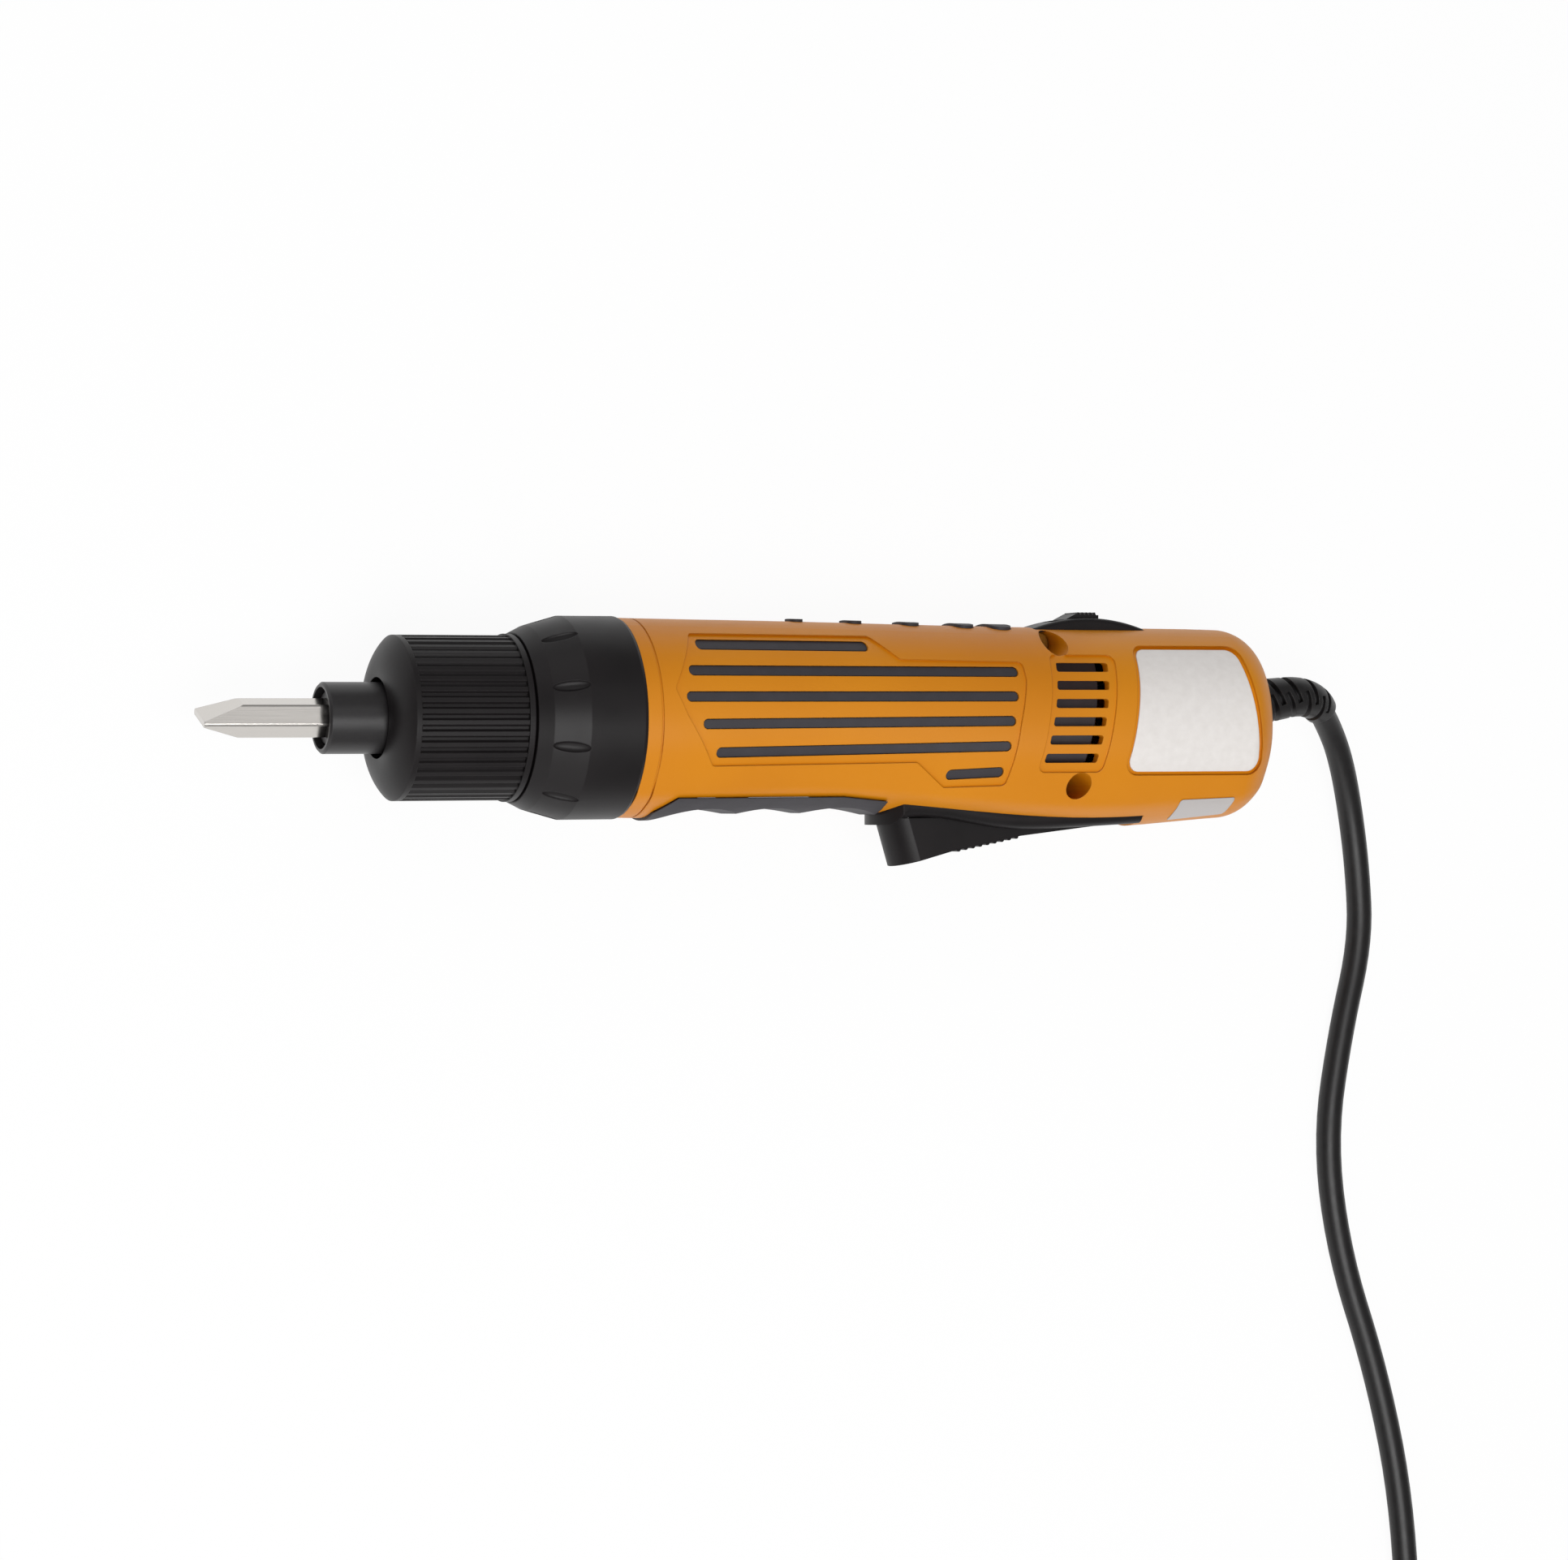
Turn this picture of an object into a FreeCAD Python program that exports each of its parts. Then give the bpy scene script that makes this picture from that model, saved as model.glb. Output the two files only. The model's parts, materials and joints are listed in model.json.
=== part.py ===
import FreeCAD, Part

import math
import os

from FreeCAD import Vector

# The tool lies on its side: its axis is X, tip towards -X, switch side +Y, lever side -Y.
# Stations along the axis count from the seam between the black collar and the handle.

# Lengths along the axis
HANDLE_LENGTH = 130.6
COLLAR_LENGTH = 20.0
KNOB_GAP = 0.4
KNOB_LENGTH = 25.2
SLEEVE_REACH = 10.5
BIT_REACH = 22.4

# Clearances
FIT = 0.1
RUNNING = 0.05
SLACK = 0.3

# Handle sections: distance of the top, the bottom and the sides from the axis
SEAM_RADIUS = 18.4
SHOULDER_STATION = 18.0
SHOULDER_TOP = 18.16
SHOULDER_BOTTOM = 17.97
SHOULDER_SIDE = 18.02
WAIST_STATION = 38.0
WAIST_TOP = 17.9
WAIST_BOTTOM = 17.5
WAIST_SIDE = 17.6
BELLY_STATION = 86.0
BELLY_TOP = 17.15
BELLY_BOTTOM = 21.0
BELLY_SIDE = 18.4
REAR_STATION = 114.0
REAR_TOP = 17.05
REAR_BOTTOM = 20.2
REAR_SIDE = 18.5
TAIL_TOP = 16.6
TAIL_BOTTOM = 19.3
TAIL_SIDE = 17.9
TAIL_ROUND = 7.0
HANDLE_WALL = 2.2
TAIL_WALL = 4.1
SECTION_STEPS = 6
SECTION_JOINT = 24.0
RIM_LINE_STATION = 2.7
RIM_LINE_WIDTH = 0.35
RIM_LINE_DEPTH = 0.3

# Recesses of the handle sides
PANEL_DEPTH = 0.4
INLAY_DEPTH = 0.65
STRIP_WIDTH = 1.9
PANEL_CORNERS = (
    (11.0, 15.3), (5.6, 5.1), (7.8, 0.1), (13.5, -9.1), (54.3, -8.6), (60.8, -13.3),
    (72.9, -13.0), (74.5, -1.7), (76.5, 6.7), (76.5, 10.2), (51.7, 10.6), (47.0, 15.0),
)
PANEL_CORNER_RADIUS = 1.0
# Each dark strip: front station and height, rear station and height
STRIP_LINES = (
    (11.7, 13.2, 46.2, 13.0),
    (8.9, 8.4, 75.3, 8.3),
    (7.8, 3.6, 74.5, 3.7),
    (10.9, -1.4, 73.6, -0.9),
    (13.9, -6.6, 72.8, -5.6),
    (60.8, -10.9, 72.1, -10.4),
)
VENT_COUNT = 6
VENT_FRONT = 83.5
VENT_TOP = 9.2
VENT_PITCH = 3.42
VENT_LEAN = 0.7
VENT_LENGTH = 10.7
VENT_HEIGHT = 1.7
VENT_FRAME = ((82.6, 11.6), (96.2, 11.6), (91.8, -10.6), (78.6, -10.6))
VENT_FRAME_RADIUS = 1.4
# Dust liner behind the vents, which leaves their rear ends open
LINER = ((81.6, 10.4), (93.0, 10.4), (88.9, -9.6), (77.5, -9.6))
LINER_THICKNESS = 1.0
WINDOW = ((100.6, 13.4), (123.2, 13.4), (126.4, -11.2), (96.3, -11.2))
WINDOW_RADIUS = 2.6
LABEL_MARGIN = 0.7
STICKER = ((110.4, -15.9), (122.4, -15.5), (122.8, -18.7), (111.0, -19.8))
STICKER_THICKNESS = 0.15

# Screws that hold the two halves: station and height of each
SCREW_PLACES = ((85.1, 13.9), (87.9, -13.1))
SCREW_RADIUS = 1.2
SCREW_HEAD_RADIUS = 2.2
SCREW_HEAD_HEIGHT = 1.8
SCREW_SEAT = 1.2
SCREW_DEPTH = 7.0
SCREW_DRIVE = 1.1
BOSS_RADIUS = 3.1

# Finger grip and top nubs
GRIP_FRONT = 5.0
GRIP_REAR = 50.9
GRIP_EDGE = 14.8
GRIP_SWELL = 0.5
GRIP_WAVES = 3
GRIP_WAVE_PITCH = 13.4
GRIP_WAVE_RADIUS = 24.0
GRIP_WAVE_DEPTH = 1.1
NUB_STATIONS = (36.1, 47.6, 58.9, 69.7, 77.0)
NUB_LENGTH_FIRST = 2.6
NUB_LENGTH_LAST = 4.2
NUB_HALF_FIRST = 2.2
NUB_HALF_LAST = 5.2
NUB_HEIGHT = 0.5
NUB_ROOT = 1.2

# Lever bezel and start lever
BEZEL_FRONT = 51.3
BEZEL_REAR = 104.6
BEZEL_TOP = 15.5
LEVER_ROOM = 14.6
BEZEL_HALF = 8.2
BEZEL_ROUND = 2.2
BEZEL_WALL = 2.3
LEVER_FRONT = 53.3
LEVER_DEPTH = 28.0
LEVER_RISE = 18.9
LEVER_SKIN = 1.6
LEVER_NOSE = 1.6
LEVER_RIB_FRONT = (67.4, 24.9)
LEVER_RIB_REAR = (79.4, 22.6)
LEVER_RIB_INSET = 0.6
LEVER_BOSS_HALF = 1.5
LEVER_BOSS_WIDE = 2.0
LEVER_BOSS_FOOT = 22.0
BEZEL_FRONT_WALL = 1.5
BEZEL_NOSE_RADIUS = 11.4
LEVER_NOSE_RADIUS = 5.9
BEZEL_REAR_WALL = 1.6
# Undersides of lever and bezel and the heel of the lever: station and depth below the axis
LEVER_UNDERSIDE = ((55.5, 28.0), (66.8, 25.0), (80.0, 22.5), (97.0, 20.6))
LEVER_HEEL = ((102.6, 19.6), (102.6, 15.4), (97.0, 15.4), (79.0, 18.9))
BEZEL_LIP = ((51.3, 20.2), (53.2, 20.2))
BEZEL_UNDERSIDE = (
    (54.2, 19.1), (61.0, 18.8), (68.0, 19.8), (76.0, 21.0), (83.0, 21.25), (90.0, 21.0), (99.0, 20.6),
    (104.6, 20.3),
)
LEVER_PIVOT_STATION = 101.0
LEVER_PIVOT_DEPTH = 17.2
LEVER_PIN_RADIUS = 1.0
LEVER_RIB_COUNT = 9
LEVER_RIB_RADIUS = 0.45
LEVER_SPRING_STATION = 66.0
LEVER_SPRING_RADIUS = 2.0
LEVER_SPRING_WIRE = 0.3
LEVER_SPRING_TURNS = 5
LEVER_SPRING_LIFT = 0.9
SPRING_BAR_HALF = 2.6
SPRING_BAR_THICKNESS = 1.0

# Start switch over the lever
START_SWITCH_FRONT = 72.5
START_SWITCH_LENGTH = 12.0
START_SWITCH_BOTTOM = 15.5
START_SWITCH_HEIGHT = 5.5
START_SWITCH_HALF = 3.0
PLUNGER_STATION = 77.0
PLUNGER_RADIUS = 1.2
PLUNGER_REACH = 2.6
PLUNGER_LENGTH = 4.2

# Direction switch on top
SWITCH_FRONT = 84.0
SWITCH_REAR = 107.0
SWITCH_SEAT = 16.2
SWITCH_EDGE = 16.9
SWITCH_CROWN = 18.9
SWITCH_HALF = 4.3
SWITCH_ROUND = 0.9
SLIDER_FRONT = 91.2
SLIDER_REAR = 98.0
SLIDER_TOP = 19.5
SLIDER_RIB = 0.5
SLIDER_RIBS = 5
SLIDER_RIBS_FRONT = 93.5
SLIDER_RIB_PITCH = 0.85
SLIDER_RAMP_FOOT = 0.5
SLIDER_RAMP_LIP = 0.3
# Corners of a slider rib: distance behind its front and height over the slider
SLIDER_RIB_CORNERS = ((0.0, -0.2), (0.15, 0.5), (0.4, 0.5), (0.65, -0.2))
SLIDER_HALF = 2.9
SLIDER_FLOOR = 18.0
SLIDER_TRAVEL = 2.3
STEM_HALF = 1.4
STEM_LENGTH = 3.0
STEM_BOTTOM = 12.0
TOGGLE_TOP = 13.2
TOGGLE_HEIGHT = 4.7
TOGGLE_LENGTH = 11.0
TOGGLE_HALF = 3.4
TOGGLE_SHELF = 2.4

# Bit, spindle and quick-change sleeve
HEX_ACROSS = 6.35
HEX_ROUND = 3.55
HEX_PLAY = 0.05
BIT_TURN = 68.0
BIT_REAR = -31.0
BLADE_LENGTH = 7.8
BLADE_TIP = 1.1
BIT_GROOVE_RADIUS = 2.4
BIT_GROOVE_HALF = 1.7
SOCKET_REAR = -30.0
SPINDLE_RADIUS = 4.95
SPINDLE_NECK = 4.75
SPINDLE_SHOULDER = 5.8
SLEEVE_RADIUS = 6.5
SLEEVE_MOUTH = 5.6
SLEEVE_LENGTH = 12.6
SLEEVE_LAND = 3.2
SLEEVE_CHAMBER = 5.95
MOUTH_DEPTH = 2.5
SLEEVE_SPRING_WIRE = 0.3
SLEEVE_SPRING_TURNS = 4
SHOULDER_LENGTH = 1.5
DETENT_RADIUS = 1.1
DETENT_CENTRE = 3.6
CLIP_THICKNESS = 0.8
CLIP_DEPTH = 0.5

# Torque knob
KNOB_RADIUS = 15.05
KNOB_MOUTH = 7.4
KNOB_NOSE = 2.9
KNOB_DOME_REACH = 0.3
KNOB_DOME_RISE = 0.62
KNOB_RIBS = 46
# Corners of one rib: share of the pitch from its middle, and whether it lies in the groove
KNOB_RIB_SHARES = ((-0.2, 0), (0.2, 0), (0.36, 1), (0.64, 1))
KNOB_GROOVE = 0.55
KNOB_FLANGE = 15.35
KNOB_FLANGE_LENGTH = 1.1
KNOB_BORE = 12.2
KNOB_WALL = 3.0
KNOB_LIP = 1.6
KNOB_LIP_OFFSET = 9.0

# Collar, nose tube and torque clutch
COLLAR_RADIUS = 18.7
COLLAR_FRONT_RADIUS = 15.6
COLLAR_RIDGE_RADIUS = 16.9
COLLAR_RIDGE = 2.6
COLLAR_CONE = 9.0
COLLAR_EDGE = 0.3
DIMPLES = 10
DIMPLE_LENGTH = 6.9
DIMPLE_WIDTH = 2.0
DIMPLE_DEPTH = 0.7
NOSE_RADIUS = 9.9
NOSE_BORE = 8.5
NOSE_REACH = 19.2
BUSH_LENGTH = 5.2
NUT_FRONT = -30.0
NUT_LENGTH = 4.0
NUT_RADIUS = 11.9
NUT_KEYS = 3
NUT_KEY_WIDTH = 2.8
NUT_TRAVEL = 3.75
SEAT_THICKNESS = 1.4
CLUTCH_FACE = -9.0
CLUTCH_PLATE = 4.6
CLUTCH_GAP = 1.0
CLUTCH_RADIUS = 8.2
CLUTCH_BALLS = 6
CLUTCH_BALL_RADIUS = 1.5
CLUTCH_PITCH = 6.6
CLUTCH_TRAVEL = 1.2
CLUTCH_FLAT = 4.3
CLUTCH_SPRING_RADIUS = 6.8
CLUTCH_SPRING_WIRE = 0.55
CLUTCH_SPRING_TURNS = 4

# Two planet gear stages in one ring gear
GEAR_MODULE = 0.5
SUN_TEETH = 15
PLANET_TEETH = 18
PLANETS = 3
RING_TEETH = SUN_TEETH + 2 * PLANET_TEETH
PRESSURE_ANGLE = 25.0
ADDENDUM = 0.7
DEDENDUM = 0.95
BACKLASH = 0.05
FLANK_POINTS = 4
RING_RADIUS = 14.4
RING_LENGTH = 16.6
GEAR_TUBE_WALL = 0.95
GEAR_TUBE_REAR = 15.0
CARRIER_RADIUS = 10.6
CARRIER_THICKNESS = 3.8
MIDDLE_THICKNESS = 2.0
OUTPUT_FACE = 6.0
INPUT_FACE = 5.0
PLANET_PIN_RADIUS = 1.5
AXIAL_PLAY = 0.5

# Motor
MOTOR_FLANGE = 2.1
MOTOR_RADIUS = 14.2
MOTOR_WALL = 1.0
MOTOR_LENGTH = 46.5
MOTOR_FRONT_WALL = 1.5
MAGNET_THICKNESS = 3.2
MAGNET_ANGLE = 130.0
CORE_RADIUS = 9.3
CORE_LENGTH = 28.0
CORE_OFFSET = 6.5
CORE_POLES = 5
POLE_WIDTH = 3.6
POLE_SHOE = 1.6
CORE_HUB = 4.2
WINDING_RADIUS = 8.4
WINDING_OVERHANG = 3.2
SHAFT_RADIUS = 1.5
COMMUTATOR_RADIUS = 4.2
COMMUTATOR_LENGTH = 6.0
COMMUTATOR_GAP = 1.0
COMMUTATOR_SLIT = 0.4
BRUSH_LENGTH = 3.6
BRUSH_WIDTH = 3.2
BRUSH_REACH = 9.0
END_CAP_LENGTH = 7.0
BEARING_RADIUS = 4.0
BEARING_LENGTH = 4.5
FAN_GAP = 2.0
FAN_LENGTH = 6.5
FAN_RADIUS = 9.3
FAN_HUB = 3.0
FAN_BLADES = 7
FAN_BLADE = 0.9
GEAR_RIB_FRONT = 3.5
GEAR_RIB_REAR = 13.0
MOTOR_RIBS = ((22.0, 25.0), (56.0, 59.0), (64.5, 67.5))

# Control board, cord clamp and leads inside the tail
BOARD_FRONT = 103.5
BOARD_LENGTH = 13.5
BOARD_HALF = 8.0
BOARD_THICKNESS = 1.6
POST_RADIUS = 1.8
POST_PLACES = ((105.5, -6.0), (115.0, 6.0))
# Parts on the board, as limits from its middle along X, limits along Y and height
BOARD_CAN_RADIUS = 3.0
BOARD_CAN_PLACE = (-3.0, -3.5)
BOARD_CAN_HEIGHT = 7.0
BOARD_CHIPS = ((1.0, 5.5, -7.0, -2.0, 4.0), (-5.0, -2.0, 1.5, 5.5, 3.0))
CLAMP_FRONT = 119.0
CLAMP_LENGTH = 4.0
CLAMP_HALF = 5.5
CLAMP_RISE = 5.0
LEAD_RADIUS = 0.6
LEAD_HEIGHT = 5.0
LEAD_SIDE = 9.0

# Strain relief and cord
CORD_RADIUS = 2.5
CORD_HEIGHT = 2.6
STUB_FRONT = 117.6
NECK_RADIUS = 3.8
RELIEF_RADIUS = 4.6
RELIEF_GAP = 0.7
FLANGE_RADIUS = 6.0
FLANGE_THICKNESS = 1.5
RELIEF_STRAIGHT = 8.7
RELIEF_RISE = 8.0
RELIEF_TURN = 56.0
RELIEF_BEND = 10.8
RELIEF_SIDE = 47.0
RELIEF_END_RADIUS = 3.3
RELIEF_SLOTS = 4
RELIEF_SLOT_WIDTH = 1.1
RELIEF_SLOT_LEAN = 20.0
RELIEF_SLOT_PAST = 1.2
RELIEF_CORE = 2.8
RELIEF_SLOT_FIRST = 0.2
RELIEF_SLOT_SPREAD = 0.68
# Route of the cord after the strain relief: station, height from the axis and rise from the axis plane
CORD_ROUTE = (
    (157.6, -7.6, -10.3),
    (161.6, -16.6, -14.0),
    (164.6, -30.0, -16.1),
    (165.3, -44.5, -16.2),
    (160.6, -62.5, -16.2),
    (156.9, -84.0, -16.2),
    (160.0, -107.0, -16.2),
    (168.0, -130.0, -16.2),
    (173.6, -156.0, -15.8),
)
RELIEF_LEAD = 6.0
COIL_APPROACH = 25.0
COIL_TAIL = 36.0
COIL_TURNS = 6.25
COIL_RADIUS = 37.8
COIL_STEP = 5.6
COIL_LAYER = 5.6
COIL_LIFT = 0.9
COIL_STATION = 136.4
COIL_DEPTH = 215.0
COIL_STEPS_PER_TURN = 4
TIE_WIDTH = 6.0
TIE_THICKNESS = 0.7
TIE_SLACK = 0.4

# Round plug at the end of the cord
PLUG_BOOT_LENGTH = 14.0
PLUG_BOOT_END = 5.4
PLUG_BOOT_WALL = 0.7
PLUG_RADIUS = 8.8
PLUG_LENGTH = 24.0
PLUG_GROOVES = 6
PLUG_GROOVE_DEPTH = 0.5
PLUG_GROOVE_FRONT = 5.0
PLUG_GROOVE_PITCH = 2.2
PLUG_EDGE = 0.8
PLUG_SHELL_RADIUS = 6.6
PLUG_SHELL_WALL = 0.6
PLUG_SHELL_LENGTH = 10.5
PLUG_SHELL_SEAT = 3.0
PLUG_SHELL_STEP = 0.25
PLUG_SHELL_LAND = 0.2
PLUG_PINS = 5
PLUG_PIN_RADIUS = 0.7
PLUG_PIN_CIRCLE = 3.6
PLUG_PIN_LENGTH = 8.0
PLUG_PIN_SEAT = 2.0
PLUG_PIN_FIRST = 30.0
PLUG_PIN_SPREAD = 240.0

# Stations worked out from the lengths above
COLLAR_FRONT = -COLLAR_LENGTH
KNOB_REAR = COLLAR_FRONT - KNOB_GAP
KNOB_FRONT = KNOB_REAR - KNOB_LENGTH
SLEEVE_FRONT = KNOB_FRONT - SLEEVE_REACH
BIT_TIP = SLEEVE_FRONT - BIT_REACH
NOSE_FRONT = COLLAR_FRONT - NOSE_REACH
CLIP_FRONT = SLEEVE_FRONT + MOUTH_DEPTH - CLIP_THICKNESS - FIT
SPINDLE_FRONT = CLIP_FRONT - CLIP_DEPTH
LAND_REAR = SLEEVE_FRONT + MOUTH_DEPTH + SLEEVE_LAND
SHOULDER_FRONT = SLEEVE_FRONT + SLEEVE_LENGTH - 2 * CLIP_DEPTH
DETENT_STATION = SLEEVE_FRONT + MOUTH_DEPTH + SLEEVE_LAND / 2
NUT_REAR = NUT_FRONT + NUT_LENGTH
SEAT_REAR = NUT_REAR + SEAT_THICKNESS
PLATE_FRONT = CLUTCH_FACE - CLUTCH_PLATE
DRIVER_FRONT = CLUTCH_FACE + CLUTCH_GAP
DRIVER_REAR = DRIVER_FRONT + CARRIER_THICKNESS
OUTPUT_FRONT = DRIVER_REAR + 2 * AXIAL_PLAY
OUTPUT_REAR = OUTPUT_FRONT + OUTPUT_FACE
MIDDLE_FRONT = OUTPUT_REAR + AXIAL_PLAY
MIDDLE_REAR = MIDDLE_FRONT + MIDDLE_THICKNESS
INPUT_FRONT = MIDDLE_REAR + AXIAL_PLAY
INPUT_REAR = INPUT_FRONT + INPUT_FACE
RING_FRONT = DRIVER_REAR + AXIAL_PLAY
RING_REAR = RING_FRONT + RING_LENGTH
MOTOR_FRONT = RING_REAR + MOTOR_FLANGE
MOTOR_REAR = MOTOR_FRONT + MOTOR_LENGTH
CORE_FRONT = MOTOR_FRONT + CORE_OFFSET
CORE_REAR = CORE_FRONT + CORE_LENGTH
COMMUTATOR_FRONT = CORE_REAR + WINDING_OVERHANG + COMMUTATOR_GAP
CAP_REAR = MOTOR_REAR + END_CAP_LENGTH
FAN_FRONT = CAP_REAR + FAN_GAP
FAN_REAR = FAN_FRONT + FAN_LENGTH
CAVITY_REAR = HANDLE_LENGTH - TAIL_WALL
CENTRE_DISTANCE = GEAR_MODULE * (SUN_TEETH + PLANET_TEETH) / 2
GEAR_TUBE_RADIUS = RING_RADIUS + RUNNING + GEAR_TUBE_WALL
RIM = BEZEL_HALF - BEZEL_WALL
LEVER_HALF = RIM - SLACK
WIDE = 40.0

# The finished tool rests on the collar, centred on its own outline without the cord
AXIS = Vector(1, 0, 0)
REST = Vector(
    -(BIT_TIP + HANDLE_LENGTH) / 2,
    -(SLIDER_TOP + SLIDER_RIB - LEVER_DEPTH) / 2,
    COLLAR_RADIUS,
)


# Plain building shapes

def bar(radius, start, end, y=0.0, z=0.0):
    """Round bar along the tool axis."""
    return Part.makeCylinder(radius, end - start, Vector(start, y, z), AXIS)


def ring(outer, inner, start, end):
    """Plain ring round the tool axis."""
    return bar(outer, start, end).cut(bar(inner, start - 1, end + 1))


def post(radius, station, y, low, high):
    """Round post across the handle, along Z."""
    return Part.makeCylinder(radius, high - low, Vector(station, y, low), Vector(0, 0, 1))


def block(start, end, low, high, near, far):
    """Box from its limits along X, Y and Z."""
    return Part.makeBox(end - start, high - low, far - near, Vector(start, low, near))


def turned(profile):
    """Solid turned round the tool axis from corners given as station and radius."""
    points = [Vector(station, radius, 0) for station, radius in profile]
    face = Part.Face(Part.makePolygon(points + points[:1]))
    return face.revolve(Vector(0, 0, 0), AXIS, 360)


def around(shape, angle):
    """Copy of a shape turned about the tool axis by an angle in degrees."""
    copy = shape.copy()
    copy.rotate(Vector(0, 0, 0), AXIS, angle)
    return copy


def plate(corners, half, radius=0.0):
    """Side outline, with rounded corners, carried across the handle from -half to half."""
    points = [Vector(station, height, -half) for station, height in corners]
    if radius:
        wire = Part.Wire(rounded_edges(points, radius, True))
    else:
        wire = Part.makePolygon(points + points[:1])
    return Part.Face(wire).extrude(Vector(0, 0, 2 * half))


def corner_arc(before, point, after, radius):
    """Tangent arc at a corner: its start, middle and end. Without a radius it takes most of the shorter run."""
    back = (before - point).normalize()
    ahead = (after - point).normalize()
    turn = math.pi - back.getAngle(ahead)
    shorter = min((before - point).Length, (after - point).Length)
    if radius is None:
        radius = 0.45 * shorter / math.tan(turn / 2)
    cut = radius * math.tan(turn / 2)
    inward = (back + ahead).normalize()
    centre = point + inward * (radius / math.cos(turn / 2))
    return point + back * cut, centre - inward * radius, point + ahead * cut, radius


def rounded_edges(points, radius, closed):
    """Straight runs joined by tangent arcs through a list of points."""
    count = len(points)
    corners = range(count) if closed else range(1, count - 1)
    arcs = [corner_arc(points[i - 1], points[i], points[(i + 1) % count], radius) for i in corners]
    edges = []
    last = arcs[-1][2] if closed else points[0]
    for start, middle, end, size in arcs:
        if (start - last).Length > 1e-6:
            edges.append(Part.LineSegment(last, start).toShape())
        edges.append(Part.Arc(start, middle, end).toShape())
        last = end
    if not closed:
        edges.append(Part.LineSegment(last, points[-1]).toShape())
    return edges


def disc_wire(centre, direction, radius):
    """Circle across a path."""
    return Part.Wire(Part.Circle(centre, direction, radius).toShape())


def tube(points, radius, bend=None):
    """Round lead along straight runs and tangent arcs."""
    path = Part.Wire(rounded_edges(points, bend, False))
    profile = disc_wire(points[0], points[1] - points[0], radius)
    return path.makePipeShell([profile], True, False)


def biarc(start, leaving, end, arriving):
    """Two tangent arcs between two points with given directions."""
    chord = end - start
    spread = 2 * (1 - leaving.dot(arriving))
    along = chord.dot(leaving + arriving)
    reach = (math.sqrt(along * along + spread * chord.dot(chord)) - along) / spread
    joint = (start + end + (leaving - arriving) * reach) * 0.5
    return [tangent_arc(start, leaving, joint), tangent_arc(end, arriving * -1, joint, True)]


def tangent_arc(start, direction, end, reverse=False):
    """Arc from a point along a direction to another point."""
    chord = end - start
    normal = chord - direction * chord.dot(direction)
    normal.normalize()
    radius = chord.dot(chord) / (2 * chord.dot(normal))
    centre = start + normal * radius
    middle = centre + ((start - centre) + (end - centre)).normalize() * radius
    if reverse:
        return Part.Arc(end, middle, start).toShape()
    return Part.Arc(start, middle, end).toShape()


def wound(place, turns, steps, wire, tail):
    """Unbroken round wire on biarcs along a winding; place gives the point at a turn."""
    small = 1e-4
    count = round(turns * steps)
    stops = [turns * i / count for i in range(count + 1)]
    points = [place(stop) for stop in stops]
    ways = [(place(stop + small) - place(stop - small)).normalize() for stop in stops]
    edges = []
    for i in range(count):
        edges += biarc(points[i], ways[i], points[i + 1], ways[i + 1])
    lead_in = points[0] - ways[0] * 2 * wire
    lead_out = points[-1] + ways[-1] * tail
    edges.insert(0, Part.LineSegment(lead_in, points[0]).toShape())
    edges.append(Part.LineSegment(points[-1], lead_out).toShape())
    path = Part.Wire(edges)
    solid = path.makePipeShell([disc_wire(lead_in, ways[0], wire)], True, False)
    return solid, path, lead_in, ways[0], lead_out


def own_gap(place, turns, wire, per_turn=48):
    """Least gap of a winding to itself, between places at least half a turn apart."""
    points = [place(i / per_turn) for i in range(round(turns * per_turn) + 1)]
    least = WIDE
    for i in range(len(points)):
        for j in range(i + per_turn // 2, len(points)):
            least = min(least, (points[i] - points[j]).Length)
    return least - 2 * wire


def spring(centre, direction, across, length, radius, wire, turns):
    """Open compression spring from its centre line."""
    side = direction.cross(across)
    rise = length - 2 * wire

    def place(turn):
        angle = 2 * math.pi * turn
        round_part = across * (radius * math.cos(angle)) + side * (radius * math.sin(angle))
        return centre + direction * (wire + rise * turn / turns) + round_part

    solid, path, end = wound_open(place, turns, wire)
    print("spring gap to itself %.2f mm" % own_gap(place, turns, wire))
    return solid


def wound_open(place, turns, wire, steps=4):
    """Winding on biarcs whose ends stop on the helix."""
    small = 1e-4
    count = round(turns * steps)
    stops = [turns * i / count for i in range(count + 1)]
    points = [place(stop) for stop in stops]
    ways = [(place(stop + small) - place(stop - small)).normalize() for stop in stops]
    edges = []
    for i in range(count):
        edges += biarc(points[i], ways[i], points[i + 1], ways[i + 1])
    path = Part.Wire(edges)
    return path.makePipeShell([disc_wire(points[0], ways[0], wire)], True, False), path, points[-1]


# Handle

def handle_section(station, top, bottom, side, inset):
    """Oval section of the handle in four curves, smaller by an inset."""
    centre = (top - bottom) / 2
    height = (top + bottom) / 2 - inset
    width = side - inset
    side_turn = 180 - 2 * SECTION_JOINT
    edges = []
    joint = -SECTION_JOINT
    for turn in (2 * SECTION_JOINT, side_turn, 2 * SECTION_JOINT, side_turn):
        angles = [math.radians(joint + turn * index / SECTION_STEPS) for index in range(SECTION_STEPS + 1)]
        points = [Vector(station, centre + height * math.cos(a), width * math.sin(a)) for a in angles]
        ways = [Vector(0, -height * math.sin(a), width * math.cos(a)) for a in (angles[0], angles[-1])]
        curve = Part.BSplineCurve()
        curve.interpolate(Points=points, InitialTangent=ways[0], FinalTangent=ways[1])
        edges.append(curve.toShape())
        joint += turn
    return Part.Wire(edges)


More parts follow.
